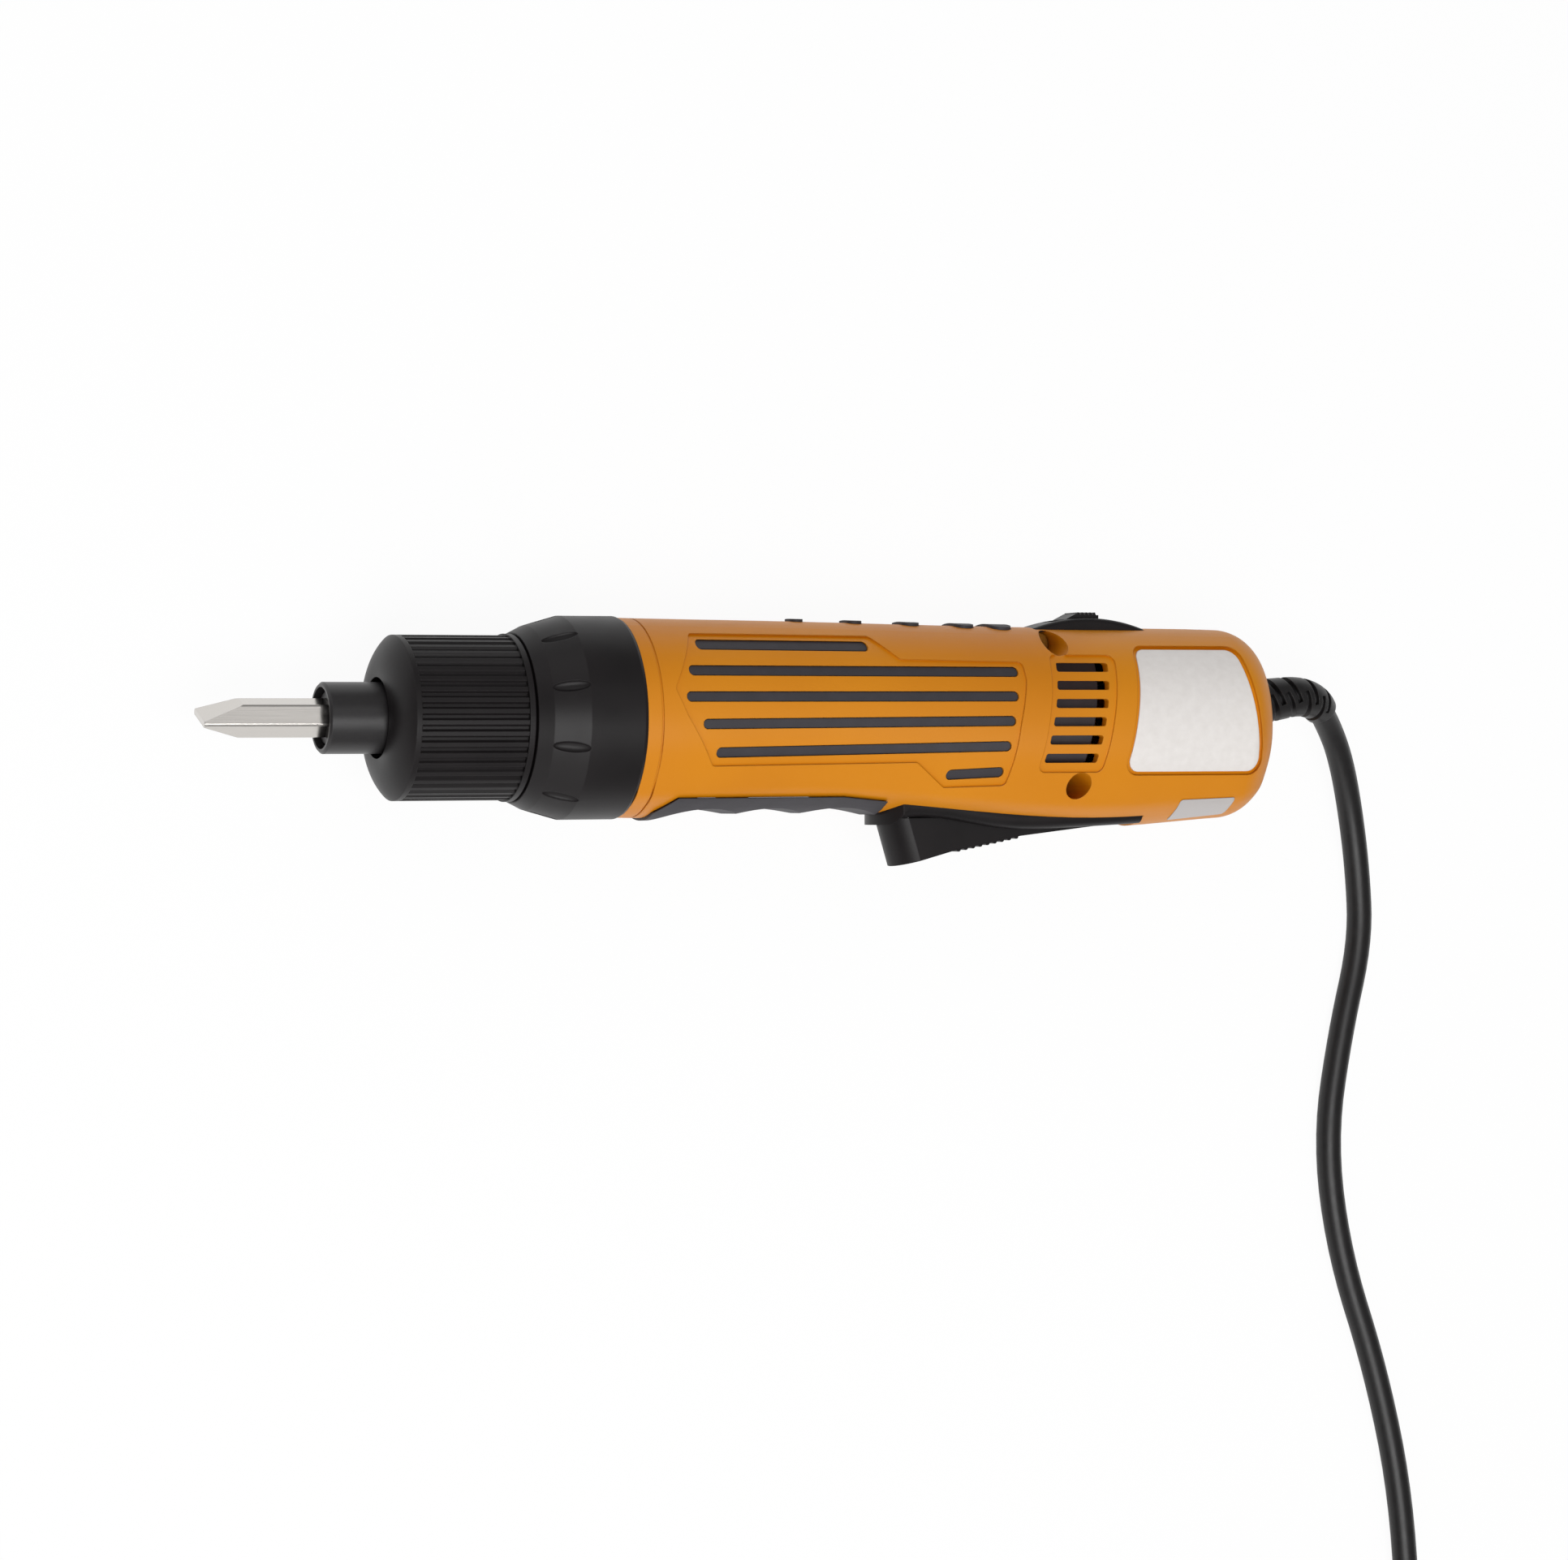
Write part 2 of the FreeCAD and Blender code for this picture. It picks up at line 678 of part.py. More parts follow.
def handle_solid(inset, front=0.0, rear=None, tail_round=None):
    """Handle form, smaller by an inset, with its rounded tail."""
    end = HANDLE_LENGTH - inset if rear is None else rear
    sections = [
        handle_section(front, SEAM_RADIUS, SEAM_RADIUS, SEAM_RADIUS, inset),
        handle_section(SHOULDER_STATION, SHOULDER_TOP, SHOULDER_BOTTOM, SHOULDER_SIDE, inset),
        handle_section(WAIST_STATION, WAIST_TOP, WAIST_BOTTOM, WAIST_SIDE, inset),
        handle_section(BELLY_STATION, BELLY_TOP, BELLY_BOTTOM, BELLY_SIDE, inset),
        handle_section(REAR_STATION, REAR_TOP, REAR_BOTTOM, REAR_SIDE, inset),
        handle_section(end, TAIL_TOP, TAIL_BOTTOM, TAIL_SIDE, inset),
    ]
    solid = Part.makeLoft(sections, True, False)
    size = TAIL_ROUND - inset if tail_round is None else tail_round
    if size:
        rim = [edge for edge in solid.Edges if edge.BoundBox.XMin > end - 0.01]
        solid = solid.makeFillet(size, rim)
    return solid


def strip_outline(line, play):
    """Slim rounded strip between its two ends, as corners."""
    front, front_y, rear, rear_y = line
    half = STRIP_WIDTH / 2 + play
    return (
        (front - play, front_y + half), (rear + play, rear_y + half),
        (rear + play, rear_y - half), (front - play, front_y - half),
    )


def strips(play):
    """The dark strips of one side panel as bars across the handle."""
    radius = STRIP_WIDTH / 2 + play - 0.05
    return [plate(strip_outline(line, play), WIDE, radius) for line in STRIP_LINES]


def vents():
    """Leaning vent slots as bars across the handle."""
    bars = []
    lean = VENT_LEAN * VENT_HEIGHT / VENT_PITCH / 2
    for index in range(VENT_COUNT):
        front = VENT_FRONT - VENT_LEAN * index
        middle = VENT_TOP - VENT_PITCH * index
        top = middle + VENT_HEIGHT / 2
        bottom = middle - VENT_HEIGHT / 2
        corners = (
            (front + lean, top), (front + VENT_LENGTH + lean, top),
            (front + VENT_LENGTH - lean, bottom), (front - lean, bottom),
        )
        bars.append(plate(corners, WIDE, VENT_HEIGHT / 4))
    return bars


def shrunk(corners, margin):
    """Corners of a four-sided window moved inwards by a margin."""
    middle_x = sum(x for x, y in corners) / len(corners)
    middle_y = sum(y for x, y in corners) / len(corners)
    return [
        (x + math.copysign(margin, middle_x - x), y + math.copysign(margin, middle_y - y))
        for x, y in corners
    ]


def near_half(shape):
    """The part of a shape on the side of the handle that faces up."""
    return shape.common(block(-WIDE, HANDLE_LENGTH + WIDE, -WIDE, WIDE, 0, WIDE))


def far_half(shape):
    """The part of a shape on the side of the handle that faces down."""
    return shape.common(block(-WIDE, HANDLE_LENGTH + WIDE, -WIDE, WIDE, -WIDE, 0))


def grip_outline(play):
    """Outline of the finger grip from the side: a long edge with a slanted front."""
    front = GRIP_FRONT + play
    rear = GRIP_REAR - play
    edge = -GRIP_EDGE - play
    return ((front, -WIDE), (front, edge - 2.6), (front + 3.2, edge), (rear - 9, edge), (rear, edge - 0.9),
            (rear, -WIDE))


def nose_plan(front, rear, half, radius, top=0.0, lean=0.0):
    """Plan outline with a round nose, carried down from a height and back by a lean."""
    bulge = radius - math.sqrt(radius ** 2 - half ** 2)
    corners = [Vector(front + bulge, top, half), Vector(front + bulge, top, -half)]
    nose = Part.Arc(corners[1], Vector(front, top, 0), corners[0]).toShape()
    sides = Part.makePolygon([corners[0], Vector(rear, top, half), Vector(rear, top, -half), corners[1]])
    return Part.Face(Part.Wire([nose] + sides.Edges)).extrude(Vector(lean * WIDE, -WIDE, 0))


def bezel_form():
    """Lever bezel before it is opened: lip in front, low belly and a tail flush with the handle."""
    lip = [Vector(station, -depth, -BEZEL_HALF) for station, depth in BEZEL_LIP]
    belly = [Vector(station, -depth, -BEZEL_HALF) for station, depth in BEZEL_UNDERSIDE]
    curve = Part.BSplineCurve()
    curve.interpolate(Points=belly)
    front_top = Vector(BEZEL_FRONT, -BEZEL_TOP, -BEZEL_HALF)
    rear_top = Vector(BEZEL_REAR, -BEZEL_TOP, -BEZEL_HALF)
    rest = Part.makePolygon([belly[-1], rear_top, front_top] + lip + belly[:1])
    side = Part.Face(Part.Wire([curve.toShape()] + rest.Edges)).extrude(Vector(0, 0, 2 * BEZEL_HALF))
    belly_edges = [edge for edge in side.Edges if edge.Curve.TypeId == "Part::GeomBSplineCurve"]
    side = side.makeFillet(BEZEL_ROUND, belly_edges)
    return side.common(nose_plan(BEZEL_FRONT, BEZEL_REAR, BEZEL_HALF, BEZEL_NOSE_RADIUS))


def nub_sizes():
    """Station, length and half width of each top nub, growing towards the switch."""
    last = len(NUB_STATIONS) - 1
    for index, station in enumerate(NUB_STATIONS):
        share = index / last
        length = NUB_LENGTH_FIRST + (NUB_LENGTH_LAST - NUB_LENGTH_FIRST) * share
        half = NUB_HALF_FIRST + (NUB_HALF_LAST - NUB_HALF_FIRST) * share
        yield station, length, half


def nub_bars(play):
    """The top nubs as rounded upright bars through the top of the handle."""
    bars = []
    for station, length, half in nub_sizes():
        wide = half + play
        long = length / 2 + play
        points = [
            Vector(station - long, 0, -wide), Vector(station + long, 0, -wide),
            Vector(station + long, 0, wide), Vector(station - long, 0, wide),
        ]
        wire = Part.Wire(rounded_edges(points, long - 0.1, True))
        bars.append(Part.Face(wire).extrude(Vector(0, WIDE, 0)))
    return bars


def handle_pieces():
    """Two handle halves with the pieces set into them."""
    outer = handle_solid(0)
    panel_floor = handle_solid(PANEL_DEPTH)
    inlay_floor = handle_solid(INLAY_DEPTH)
    plain_cavity = handle_solid(HANDLE_WALL, -1.0, CAVITY_REAR, 0)

    supports = [ring(WIDE, MOTOR_RADIUS + FIT, front, rear) for front, rear in MOTOR_RIBS]
    supports.append(ring(WIDE, GEAR_TUBE_RADIUS + FIT, GEAR_RIB_FRONT, GEAR_RIB_REAR))
    supports += [post(BOSS_RADIUS, x, y, -WIDE, WIDE) for x, y in SCREW_PLACES]
    supports += [post(POST_RADIUS, x, y, -WIDE, -BOARD_THICKNESS / 2) for x, y in POST_PLACES]
    toggle_middle = (SLIDER_FRONT + SLIDER_REAR) / 2
    for side in (-1, 1):
        inner = TOGGLE_HALF + FIT
        near, far = (inner, WIDE) if side > 0 else (-WIDE, -inner)
        low = TOGGLE_TOP - TOGGLE_SHELF
        supports.append(block(toggle_middle - 5, toggle_middle - 3, low, TOGGLE_TOP - 1, near, far))
        supports.append(block(toggle_middle + 3, toggle_middle + 5, low, TOGGLE_TOP - 1, near, far))
        inner = START_SWITCH_HALF + FIT
        near, far = (inner, WIDE) if side > 0 else (-WIDE, -inner)
        low = -START_SWITCH_BOTTOM + 0.5
        supports.append(block(START_SWITCH_FRONT + 0.5, START_SWITCH_FRONT + 2.5, low, low + 4, near, far))
        inner = CLAMP_HALF + FIT
        near, far = (inner, WIDE) if side > 0 else (-WIDE, -inner)
        supports.append(
            block(CLAMP_FRONT + 1, CLAMP_FRONT + CLAMP_LENGTH - 1, CORD_HEIGHT - 3, CORD_HEIGHT + 3, near, far))
    shell = outer.cut(plain_cavity.cut(supports))

    wall_cuts = Part.makeCompound(strips(0) + vents() + [plate(grip_outline(0), WIDE)]).cut(plain_cavity)
    recesses = [plate(PANEL_CORNERS, WIDE, PANEL_CORNER_RADIUS), plate(VENT_FRAME, WIDE, VENT_FRAME_RADIUS)]
    recesses = Part.makeCompound(recesses).cut(panel_floor)
    window = near_half(plate(WINDOW, WIDE, WINDOW_RADIUS)).cut(inlay_floor)
    rim_line = ring(WIDE, SEAM_RADIUS - RIM_LINE_DEPTH, RIM_LINE_STATION, RIM_LINE_STATION + RIM_LINE_WIDTH)
    nub_floor = handle_solid(NUB_ROOT)
    nub_pockets = Part.makeCompound(nub_bars(FIT)).cut(nub_floor)
    openings = [
        nose_plan(BEZEL_FRONT - FIT, BEZEL_REAR + FIT, BEZEL_HALF + FIT, BEZEL_NOSE_RADIUS + FIT,
                  -BEZEL_TOP + FIT),
        nose_plan(BEZEL_FRONT + BEZEL_FRONT_WALL, BEZEL_REAR, RIM, BEZEL_NOSE_RADIUS - BEZEL_FRONT_WALL,
                  -LEVER_ROOM),
        block(LEVER_SPRING_STATION - SPRING_BAR_HALF - FIT, LEVER_SPRING_STATION + SPRING_BAR_HALF + FIT,
              -WIDE, -LEVER_ROOM, -BEZEL_HALF - FIT, BEZEL_HALF + FIT),
        block(SWITCH_FRONT - FIT, SWITCH_REAR + FIT, SWITCH_SEAT, WIDE, -SWITCH_HALF - FIT, SWITCH_HALF + FIT),
        block(stem_slot()[0], stem_slot()[1], TOGGLE_TOP, WIDE, -STEM_HALF - SLACK, STEM_HALF + SLACK),
        bar(NECK_RADIUS + RUNNING, CAVITY_REAR - 1, HANDLE_LENGTH + 1, CORD_HEIGHT),
    ]
    for x, y in SCREW_PLACES:
        openings.append(post(SCREW_HEAD_RADIUS + SLACK, x, y, SCREW_SEAT, WIDE))
        openings.append(post(SCREW_RADIUS + FIT, x, y, 0, SCREW_SEAT))
        openings.append(post(SCREW_RADIUS, x, y, -SCREW_DEPTH - SLACK, 0))
    shell = shell.cut([wall_cuts, recesses, window, rim_line, nub_pockets] + openings)

    inlays = Part.makeCompound(strips(-FIT)).common(inlay_floor).cut(plain_cavity)
    grip = plate(grip_outline(FIT), WIDE).common(handle_solid(-GRIP_SWELL)).cut(plain_cavity)
    waves = []
    wave_middle = (GRIP_FRONT + GRIP_REAR) / 2 + 1.5
    for index in range(GRIP_WAVES):
        station = wave_middle + (index - (GRIP_WAVES - 1) / 2) * GRIP_WAVE_PITCH
        depth = WAIST_BOTTOM + GRIP_SWELL + GRIP_WAVE_RADIUS - GRIP_WAVE_DEPTH
        waves.append(post(GRIP_WAVE_RADIUS, station, -depth, -WIDE, WIDE))
    grip = grip.cut(waves)
    label = near_half(plate(shrunk(WINDOW, LABEL_MARGIN), WIDE, WINDOW_RADIUS - LABEL_MARGIN / 2))
    label = label.common(panel_floor).cut(inlay_floor)
    sticker = near_half(plate(STICKER, WIDE, 0.6)).common(handle_solid(-STICKER_THICKNESS)).cut(outer)
    nubs = Part.makeCompound(nub_bars(0)).common(handle_solid(-NUB_HEIGHT)).cut(nub_floor)
    liner_back = handle_solid(HANDLE_WALL + LINER_THICKNESS, -1.0, CAVITY_REAR, 0)
    liners = plate(LINER, WIDE).common(handle_solid(HANDLE_WALL + FIT, -1.0, CAVITY_REAR, 0)).cut(liner_back)
    return {
        "left_handle_half": near_half(shell),
        "right_handle_half": far_half(shell),
        "rubber_inlays": Part.makeCompound(inlays.Solids + nubs.Solids + liners.Solids),
        "finger_grip": grip,
        "labels": Part.makeCompound([label, sticker]),
    }


def handle_screws():
    """Two cross-slotted screws that close the handle."""
    solids = []
    for x, y in SCREW_PLACES:
        head = post(SCREW_HEAD_RADIUS, x, y, SCREW_SEAT, SCREW_SEAT + SCREW_HEAD_HEIGHT)
        screw = head.fuse(post(SCREW_RADIUS, x, y, -SCREW_DEPTH, SCREW_SEAT))
        top = SCREW_SEAT + SCREW_HEAD_HEIGHT
        for turn in (0, 90):
            slot = block(x - 0.35, x + 0.35, y - SCREW_DRIVE, y + SCREW_DRIVE, top - 1, top + 1)
            slot.rotate(Vector(x, y, 0), Vector(0, 0, 1), turn)
            screw = screw.cut(slot)
        solids.append(screw)
    return {"handle_screws": Part.makeCompound(solids)}


# Lever

def lever_underside(rise=0.0):
    """Underside of the lever from its deep front to the pivot, raised for the inside."""
    return [(station, rise - depth) for station, depth in LEVER_UNDERSIDE]


def lever_pieces():
    """Start lever in its bezel, with pivot pin, return spring and start switch."""
    opening = nose_plan(BEZEL_FRONT + BEZEL_FRONT_WALL, BEZEL_REAR - BEZEL_REAR_WALL, RIM,
                        BEZEL_NOSE_RADIUS - BEZEL_FRONT_WALL)
    spring_bar = block(
        LEVER_SPRING_STATION - SPRING_BAR_HALF, LEVER_SPRING_STATION + SPRING_BAR_HALF,
        -LEVER_ROOM - FIT - SPRING_BAR_THICKNESS, -LEVER_ROOM - FIT, -BEZEL_HALF, BEZEL_HALF)
    pin_hole = post(LEVER_PIN_RADIUS, LEVER_PIVOT_STATION, -LEVER_PIVOT_DEPTH, -WIDE, WIDE)
    bezel = bezel_form().cut(opening).fuse(spring_bar).cut(pin_hole)

    front = (LEVER_FRONT, -LEVER_RISE - LEVER_NOSE)
    heel = [(station, -depth) for station, depth in LEVER_HEEL]
    lever = plate([front] + lever_underside() + heel + [(LEVER_FRONT, -LEVER_RISE)], LEVER_HALF)
    lean = (LEVER_UNDERSIDE[0][0] - front[0]) / (LEVER_UNDERSIDE[0][1] + front[1])
    nose = front[0] + lean * front[1]
    lever = lever.common(nose_plan(nose, WIDE + LEVER_PIVOT_STATION, LEVER_HALF, LEVER_NOSE_RADIUS, 0, lean))
    inside = lever_underside(LEVER_SKIN)
    inside[0] = (LEVER_FRONT + 2 * LEVER_SKIN, inside[0][1])
    inner_front = LEVER_FRONT + LEVER_SKIN
    inside.insert(0, (inner_front, -LEVER_RISE - LEVER_NOSE))
    inside += [(LEVER_UNDERSIDE[-1][0], 0), (inner_front, 0)]
    pocket = plate(inside, LEVER_HALF - LEVER_SKIN)
    pocket = pocket.common(nose_plan(nose + LEVER_SKIN, WIDE + LEVER_PIVOT_STATION, LEVER_HALF - LEVER_SKIN,
                                     LEVER_NOSE_RADIUS - LEVER_SKIN, 0, lean))
    lever = lever.cut(pocket)
    boss_top = -START_SWITCH_BOTTOM - PLUNGER_REACH - FIT
    boss = block(PLUNGER_STATION - LEVER_BOSS_HALF, PLUNGER_STATION + LEVER_BOSS_HALF, -LEVER_BOSS_FOOT, boss_top,
                 -LEVER_BOSS_WIDE, LEVER_BOSS_WIDE)
    ribs = []
    for index in range(LEVER_RIB_COUNT):
        share = index / (LEVER_RIB_COUNT - 1)
        station = LEVER_RIB_FRONT[0] + (LEVER_RIB_REAR[0] - LEVER_RIB_FRONT[0]) * share
        depth = LEVER_RIB_FRONT[1] + (LEVER_RIB_REAR[1] - LEVER_RIB_FRONT[1]) * share
        half = LEVER_HALF - LEVER_RIB_INSET
        ribs.append(post(LEVER_RIB_RADIUS, station, -depth, -half, half))
    lever = lever.fuse([boss] + ribs)
    lever = lever.cut(post(LEVER_PIN_RADIUS + RUNNING, LEVER_PIVOT_STATION, -LEVER_PIVOT_DEPTH, -WIDE, WIDE))
    pin = post(LEVER_PIN_RADIUS, LEVER_PIVOT_STATION, -LEVER_PIVOT_DEPTH, -BEZEL_HALF + FIT, BEZEL_HALF - FIT)

    (front_station, front_depth), (rear_station, rear_depth) = LEVER_UNDERSIDE[1:3]
    slope = (front_depth - rear_depth) / (rear_station - front_station)
    floor_drop = front_depth - slope * (LEVER_SPRING_STATION - front_station) - LEVER_SKIN
    bottom = -floor_drop + LEVER_SPRING_LIFT
    length = -LEVER_ROOM - 2 * FIT - SPRING_BAR_THICKNESS - bottom
    coil = spring(
        Vector(LEVER_SPRING_STATION, bottom, 0), Vector(0, 1, 0), Vector(1, 0, 0), length,
        LEVER_SPRING_RADIUS, LEVER_SPRING_WIRE, LEVER_SPRING_TURNS)

    base = -START_SWITCH_BOTTOM
    switch = block(START_SWITCH_FRONT, START_SWITCH_FRONT + START_SWITCH_LENGTH, base, base + START_SWITCH_HEIGHT,
                   -START_SWITCH_HALF, START_SWITCH_HALF)
    up = Vector(0, 1, 0)
    foot = Vector(PLUNGER_STATION, base - PLUNGER_REACH, 0)
    hole = Part.makeCylinder(PLUNGER_RADIUS + RUNNING, PLUNGER_LENGTH + PLUNGER_REACH, foot, up)
    plunger = Part.makeCylinder(PLUNGER_RADIUS, PLUNGER_LENGTH, foot, up)
    return {
        "lever_bezel": bezel,
        "start_lever": lever,
        "lever_pin": pin,
        "lever_spring": coil,
        "start_switch": switch.cut(hole),
        "start_switch_plunger": plunger,
    }


# Direction switch

def stem_slot():
    """Front and rear of the slot that the slider's stem travels in."""
    middle = (SLIDER_FRONT + SLIDER_REAR) / 2
    reach = STEM_LENGTH / 2 + SLIDER_TRAVEL + SLACK
    return middle - reach, middle + reach


def direction_switch():
    """Domed base, serrated slider and the switch that it works."""
    middle = (SWITCH_FRONT + SWITCH_REAR) / 2
    crown = Part.Arc(
        Vector(SWITCH_FRONT, SWITCH_EDGE, -SWITCH_HALF), Vector(middle, SWITCH_CROWN, -SWITCH_HALF),
        Vector(SWITCH_REAR, SWITCH_EDGE, -SWITCH_HALF)).toShape()
    sides = Part.makePolygon([
        Vector(SWITCH_REAR, SWITCH_EDGE, -SWITCH_HALF), Vector(SWITCH_REAR, SWITCH_SEAT, -SWITCH_HALF),
        Vector(SWITCH_FRONT, SWITCH_SEAT, -SWITCH_HALF), Vector(SWITCH_FRONT, SWITCH_EDGE, -SWITCH_HALF)])
    base = Part.Face(Part.Wire([crown] + sides.Edges)).extrude(Vector(0, 0, 2 * SWITCH_HALF))
    crown_edges = [edge for edge in base.Edges if edge.Curve.TypeId == "Part::GeomCircle"]
    base = base.makeFillet(SWITCH_ROUND, crown_edges)
    slider_bottom = SLIDER_FLOOR + 2 * FIT
    trough = block(SLIDER_FRONT - SLIDER_TRAVEL - SLACK, SLIDER_REAR + SLIDER_TRAVEL + SLACK, SLIDER_FLOOR, WIDE,
                   -SLIDER_HALF - SLACK, SLIDER_HALF + SLACK)
    slot = block(stem_slot()[0], stem_slot()[1], 0, WIDE, -STEM_HALF - SLACK, STEM_HALF + SLACK)
    base = base.cut([trough, slot])

    ramp_end = SLIDER_RIBS_FRONT - 0.1
    top = (
        (SLIDER_FRONT, slider_bottom), (SLIDER_FRONT, slider_bottom + SLIDER_RAMP_FOOT),
        (ramp_end, SLIDER_TOP + SLIDER_RAMP_LIP),
        (ramp_end, SLIDER_TOP), (SLIDER_REAR, SLIDER_TOP), (SLIDER_REAR, slider_bottom),
    )
    slider = plate(top, SLIDER_HALF)
    ribs = []
    for index in range(SLIDER_RIBS):
        front = SLIDER_RIBS_FRONT + SLIDER_RIB_PITCH * index
        rib = [(front + behind, SLIDER_TOP + height) for behind, height in SLIDER_RIB_CORNERS]
        ribs.append(plate(rib, SLIDER_HALF))
    centre = (SLIDER_FRONT + SLIDER_REAR) / 2
    stem = block(centre - STEM_LENGTH / 2, centre + STEM_LENGTH / 2, STEM_BOTTOM, slider_bottom + 0.2,
                 -STEM_HALF, STEM_HALF)
    slider = slider.fuse(ribs + [stem])
    toggle = block(centre - TOGGLE_LENGTH / 2, centre + TOGGLE_LENGTH / 2, TOGGLE_TOP - TOGGLE_HEIGHT, TOGGLE_TOP,
                   -TOGGLE_HALF, TOGGLE_HALF)
    groove = block(stem_slot()[0], stem_slot()[1], STEM_BOTTOM - SLACK, WIDE, -STEM_HALF - SLACK, STEM_HALF + SLACK)
    return {
        "direction_switch_base": base,
        "direction_slider": slider,
        "direction_switch": toggle.cut(groove),
    }


# Front end

def hexagon(across, start, end):
    """Six-sided bar along the axis with a flat facing the bit's own turn."""
    points = []
    for index in range(6):
        angle = math.radians(BIT_TURN + 30 + 60 * index)
        size = across / 2 / math.cos(math.radians(30))
        points.append(Vector(start, size * math.sin(angle), size * math.cos(angle)))
    face = Part.Face(Part.makePolygon(points + points[:1]))
    return face.extrude(Vector(end - start, 0, 0))


def screwdriver_bit():
    """Slotted bit with a six-sided shank and a detent groove."""
    shank = hexagon(HEX_ACROSS, BIT_TIP, BIT_REAR).common(bar(HEX_ROUND, BIT_TIP, BIT_REAR))
    flat_start = BIT_TIP + BLADE_LENGTH
    wedge = HEX_ACROSS / 2 + 0.2
    cut_points = (
        (BIT_TIP - 1, BLADE_TIP / 2), (BIT_TIP, BLADE_TIP / 2), (flat_start, wedge), (flat_start, WIDE),
        (BIT_TIP - 1, WIDE),
    )
    for side in (1, -1):
        cut = plate([(x, side * y) for x, y in cut_points], WIDE)
        cut.rotate(Vector(0, 0, 0), AXIS, 90 - BIT_TURN)
        shank = shank.cut(cut)
    front = DETENT_STATION - BIT_GROOVE_HALF
    rear = DETENT_STATION + BIT_GROOVE_HALF
    waist = turned((
        (front - 1.2, HEX_ROUND + 0.5), (front, BIT_GROOVE_RADIUS), (rear, BIT_GROOVE_RADIUS),
        (rear + 1.2, HEX_ROUND + 0.5),
    ))
    return {"screwdriver_bit": shank.cut(waist)}


def spindle_pieces():
    """Spindle with its socket, and the quick-change sleeve on it."""
    spindle = turned((
        (SPINDLE_FRONT, 0), (SPINDLE_FRONT, SPINDLE_NECK), (SHOULDER_FRONT, SPINDLE_NECK),
        (SHOULDER_FRONT, SPINDLE_SHOULDER), (SHOULDER_FRONT + SHOULDER_LENGTH, SPINDLE_SHOULDER),
        (SHOULDER_FRONT + SHOULDER_LENGTH, SPINDLE_RADIUS), (DRIVER_REAR, SPINDLE_RADIUS), (DRIVER_REAR, 0),
    ))
    socket = hexagon(HEX_ACROSS + 2 * HEX_PLAY, SPINDLE_FRONT - 1, SOCKET_REAR)
    flats = [
        block(PLATE_FRONT - CLUTCH_TRAVEL - SLACK, DRIVER_FRONT, side * CLUTCH_FLAT if side > 0 else -WIDE,
              WIDE if side > 0 else -CLUTCH_FLAT, -WIDE, WIDE)
        for side in (1, -1)
    ]
    clip_groove = ring(WIDE, SPINDLE_NECK - CLIP_DEPTH, CLIP_FRONT, CLIP_FRONT + CLIP_THICKNESS)
    detent_hole = post(DETENT_RADIUS + RUNNING, DETENT_STATION, 0, -WIDE, WIDE)
    spindle = spindle.cut([socket, clip_groove, detent_hole] + flats)

    rear = SLEEVE_FRONT + SLEEVE_LENGTH
    land = SPINDLE_NECK + RUNNING
    mouth_rear = SLEEVE_FRONT + MOUTH_DEPTH
    edge = 0.4
    sleeve = turned((
        (SLEEVE_FRONT, SLEEVE_MOUTH), (SLEEVE_FRONT, SLEEVE_RADIUS - edge), (SLEEVE_FRONT + edge, SLEEVE_RADIUS),
        (rear - edge, SLEEVE_RADIUS), (rear, SLEEVE_RADIUS - edge / 2), (rear, SLEEVE_CHAMBER),
        (LAND_REAR, SLEEVE_CHAMBER), (LAND_REAR, land), (mouth_rear, land), (mouth_rear, SLEEVE_MOUTH),
    ))
    clip = ring(SLEEVE_MOUTH - 2 * FIT, SPINDLE_NECK - CLIP_DEPTH, CLIP_FRONT, CLIP_FRONT + CLIP_THICKNESS)
    balls = [
        Part.makeSphere(DETENT_RADIUS, Vector(DETENT_STATION, 0, side * DETENT_CENTRE)) for side in (1, -1)
    ]
    spring_radius = (SPINDLE_NECK + SLEEVE_CHAMBER) / 2
    coil = spring(
        Vector(LAND_REAR + FIT, 0, 0), AXIS, Vector(0, 1, 0), SHOULDER_FRONT - LAND_REAR - 2 * FIT,
        spring_radius, SLEEVE_SPRING_WIRE, SLEEVE_SPRING_TURNS)
    return {
        "spindle": spindle,
        "quick_change_sleeve": sleeve,
        "sleeve_clip": clip,
        "detent_balls": Part.makeCompound(balls),
        "sleeve_spring": coil,
    }


def knurled_bar(radius, groove, ribs, start, end):
    """Bar with straight ribs round it, each with a flat crown and a narrow groove beside it."""
    points = []
    for index in range(ribs):
        middle = 2 * math.pi * index / ribs
        pitch = 2 * math.pi / ribs
        for share, sunk in KNOB_RIB_SHARES:
            angle = middle + share * pitch
            size = radius - groove * sunk
            points.append(Vector(start, size * math.cos(angle), size * math.sin(angle)))
    return Part.Face(Part.makePolygon(points + points[:1])).extrude(Vector(end - start, 0, 0))


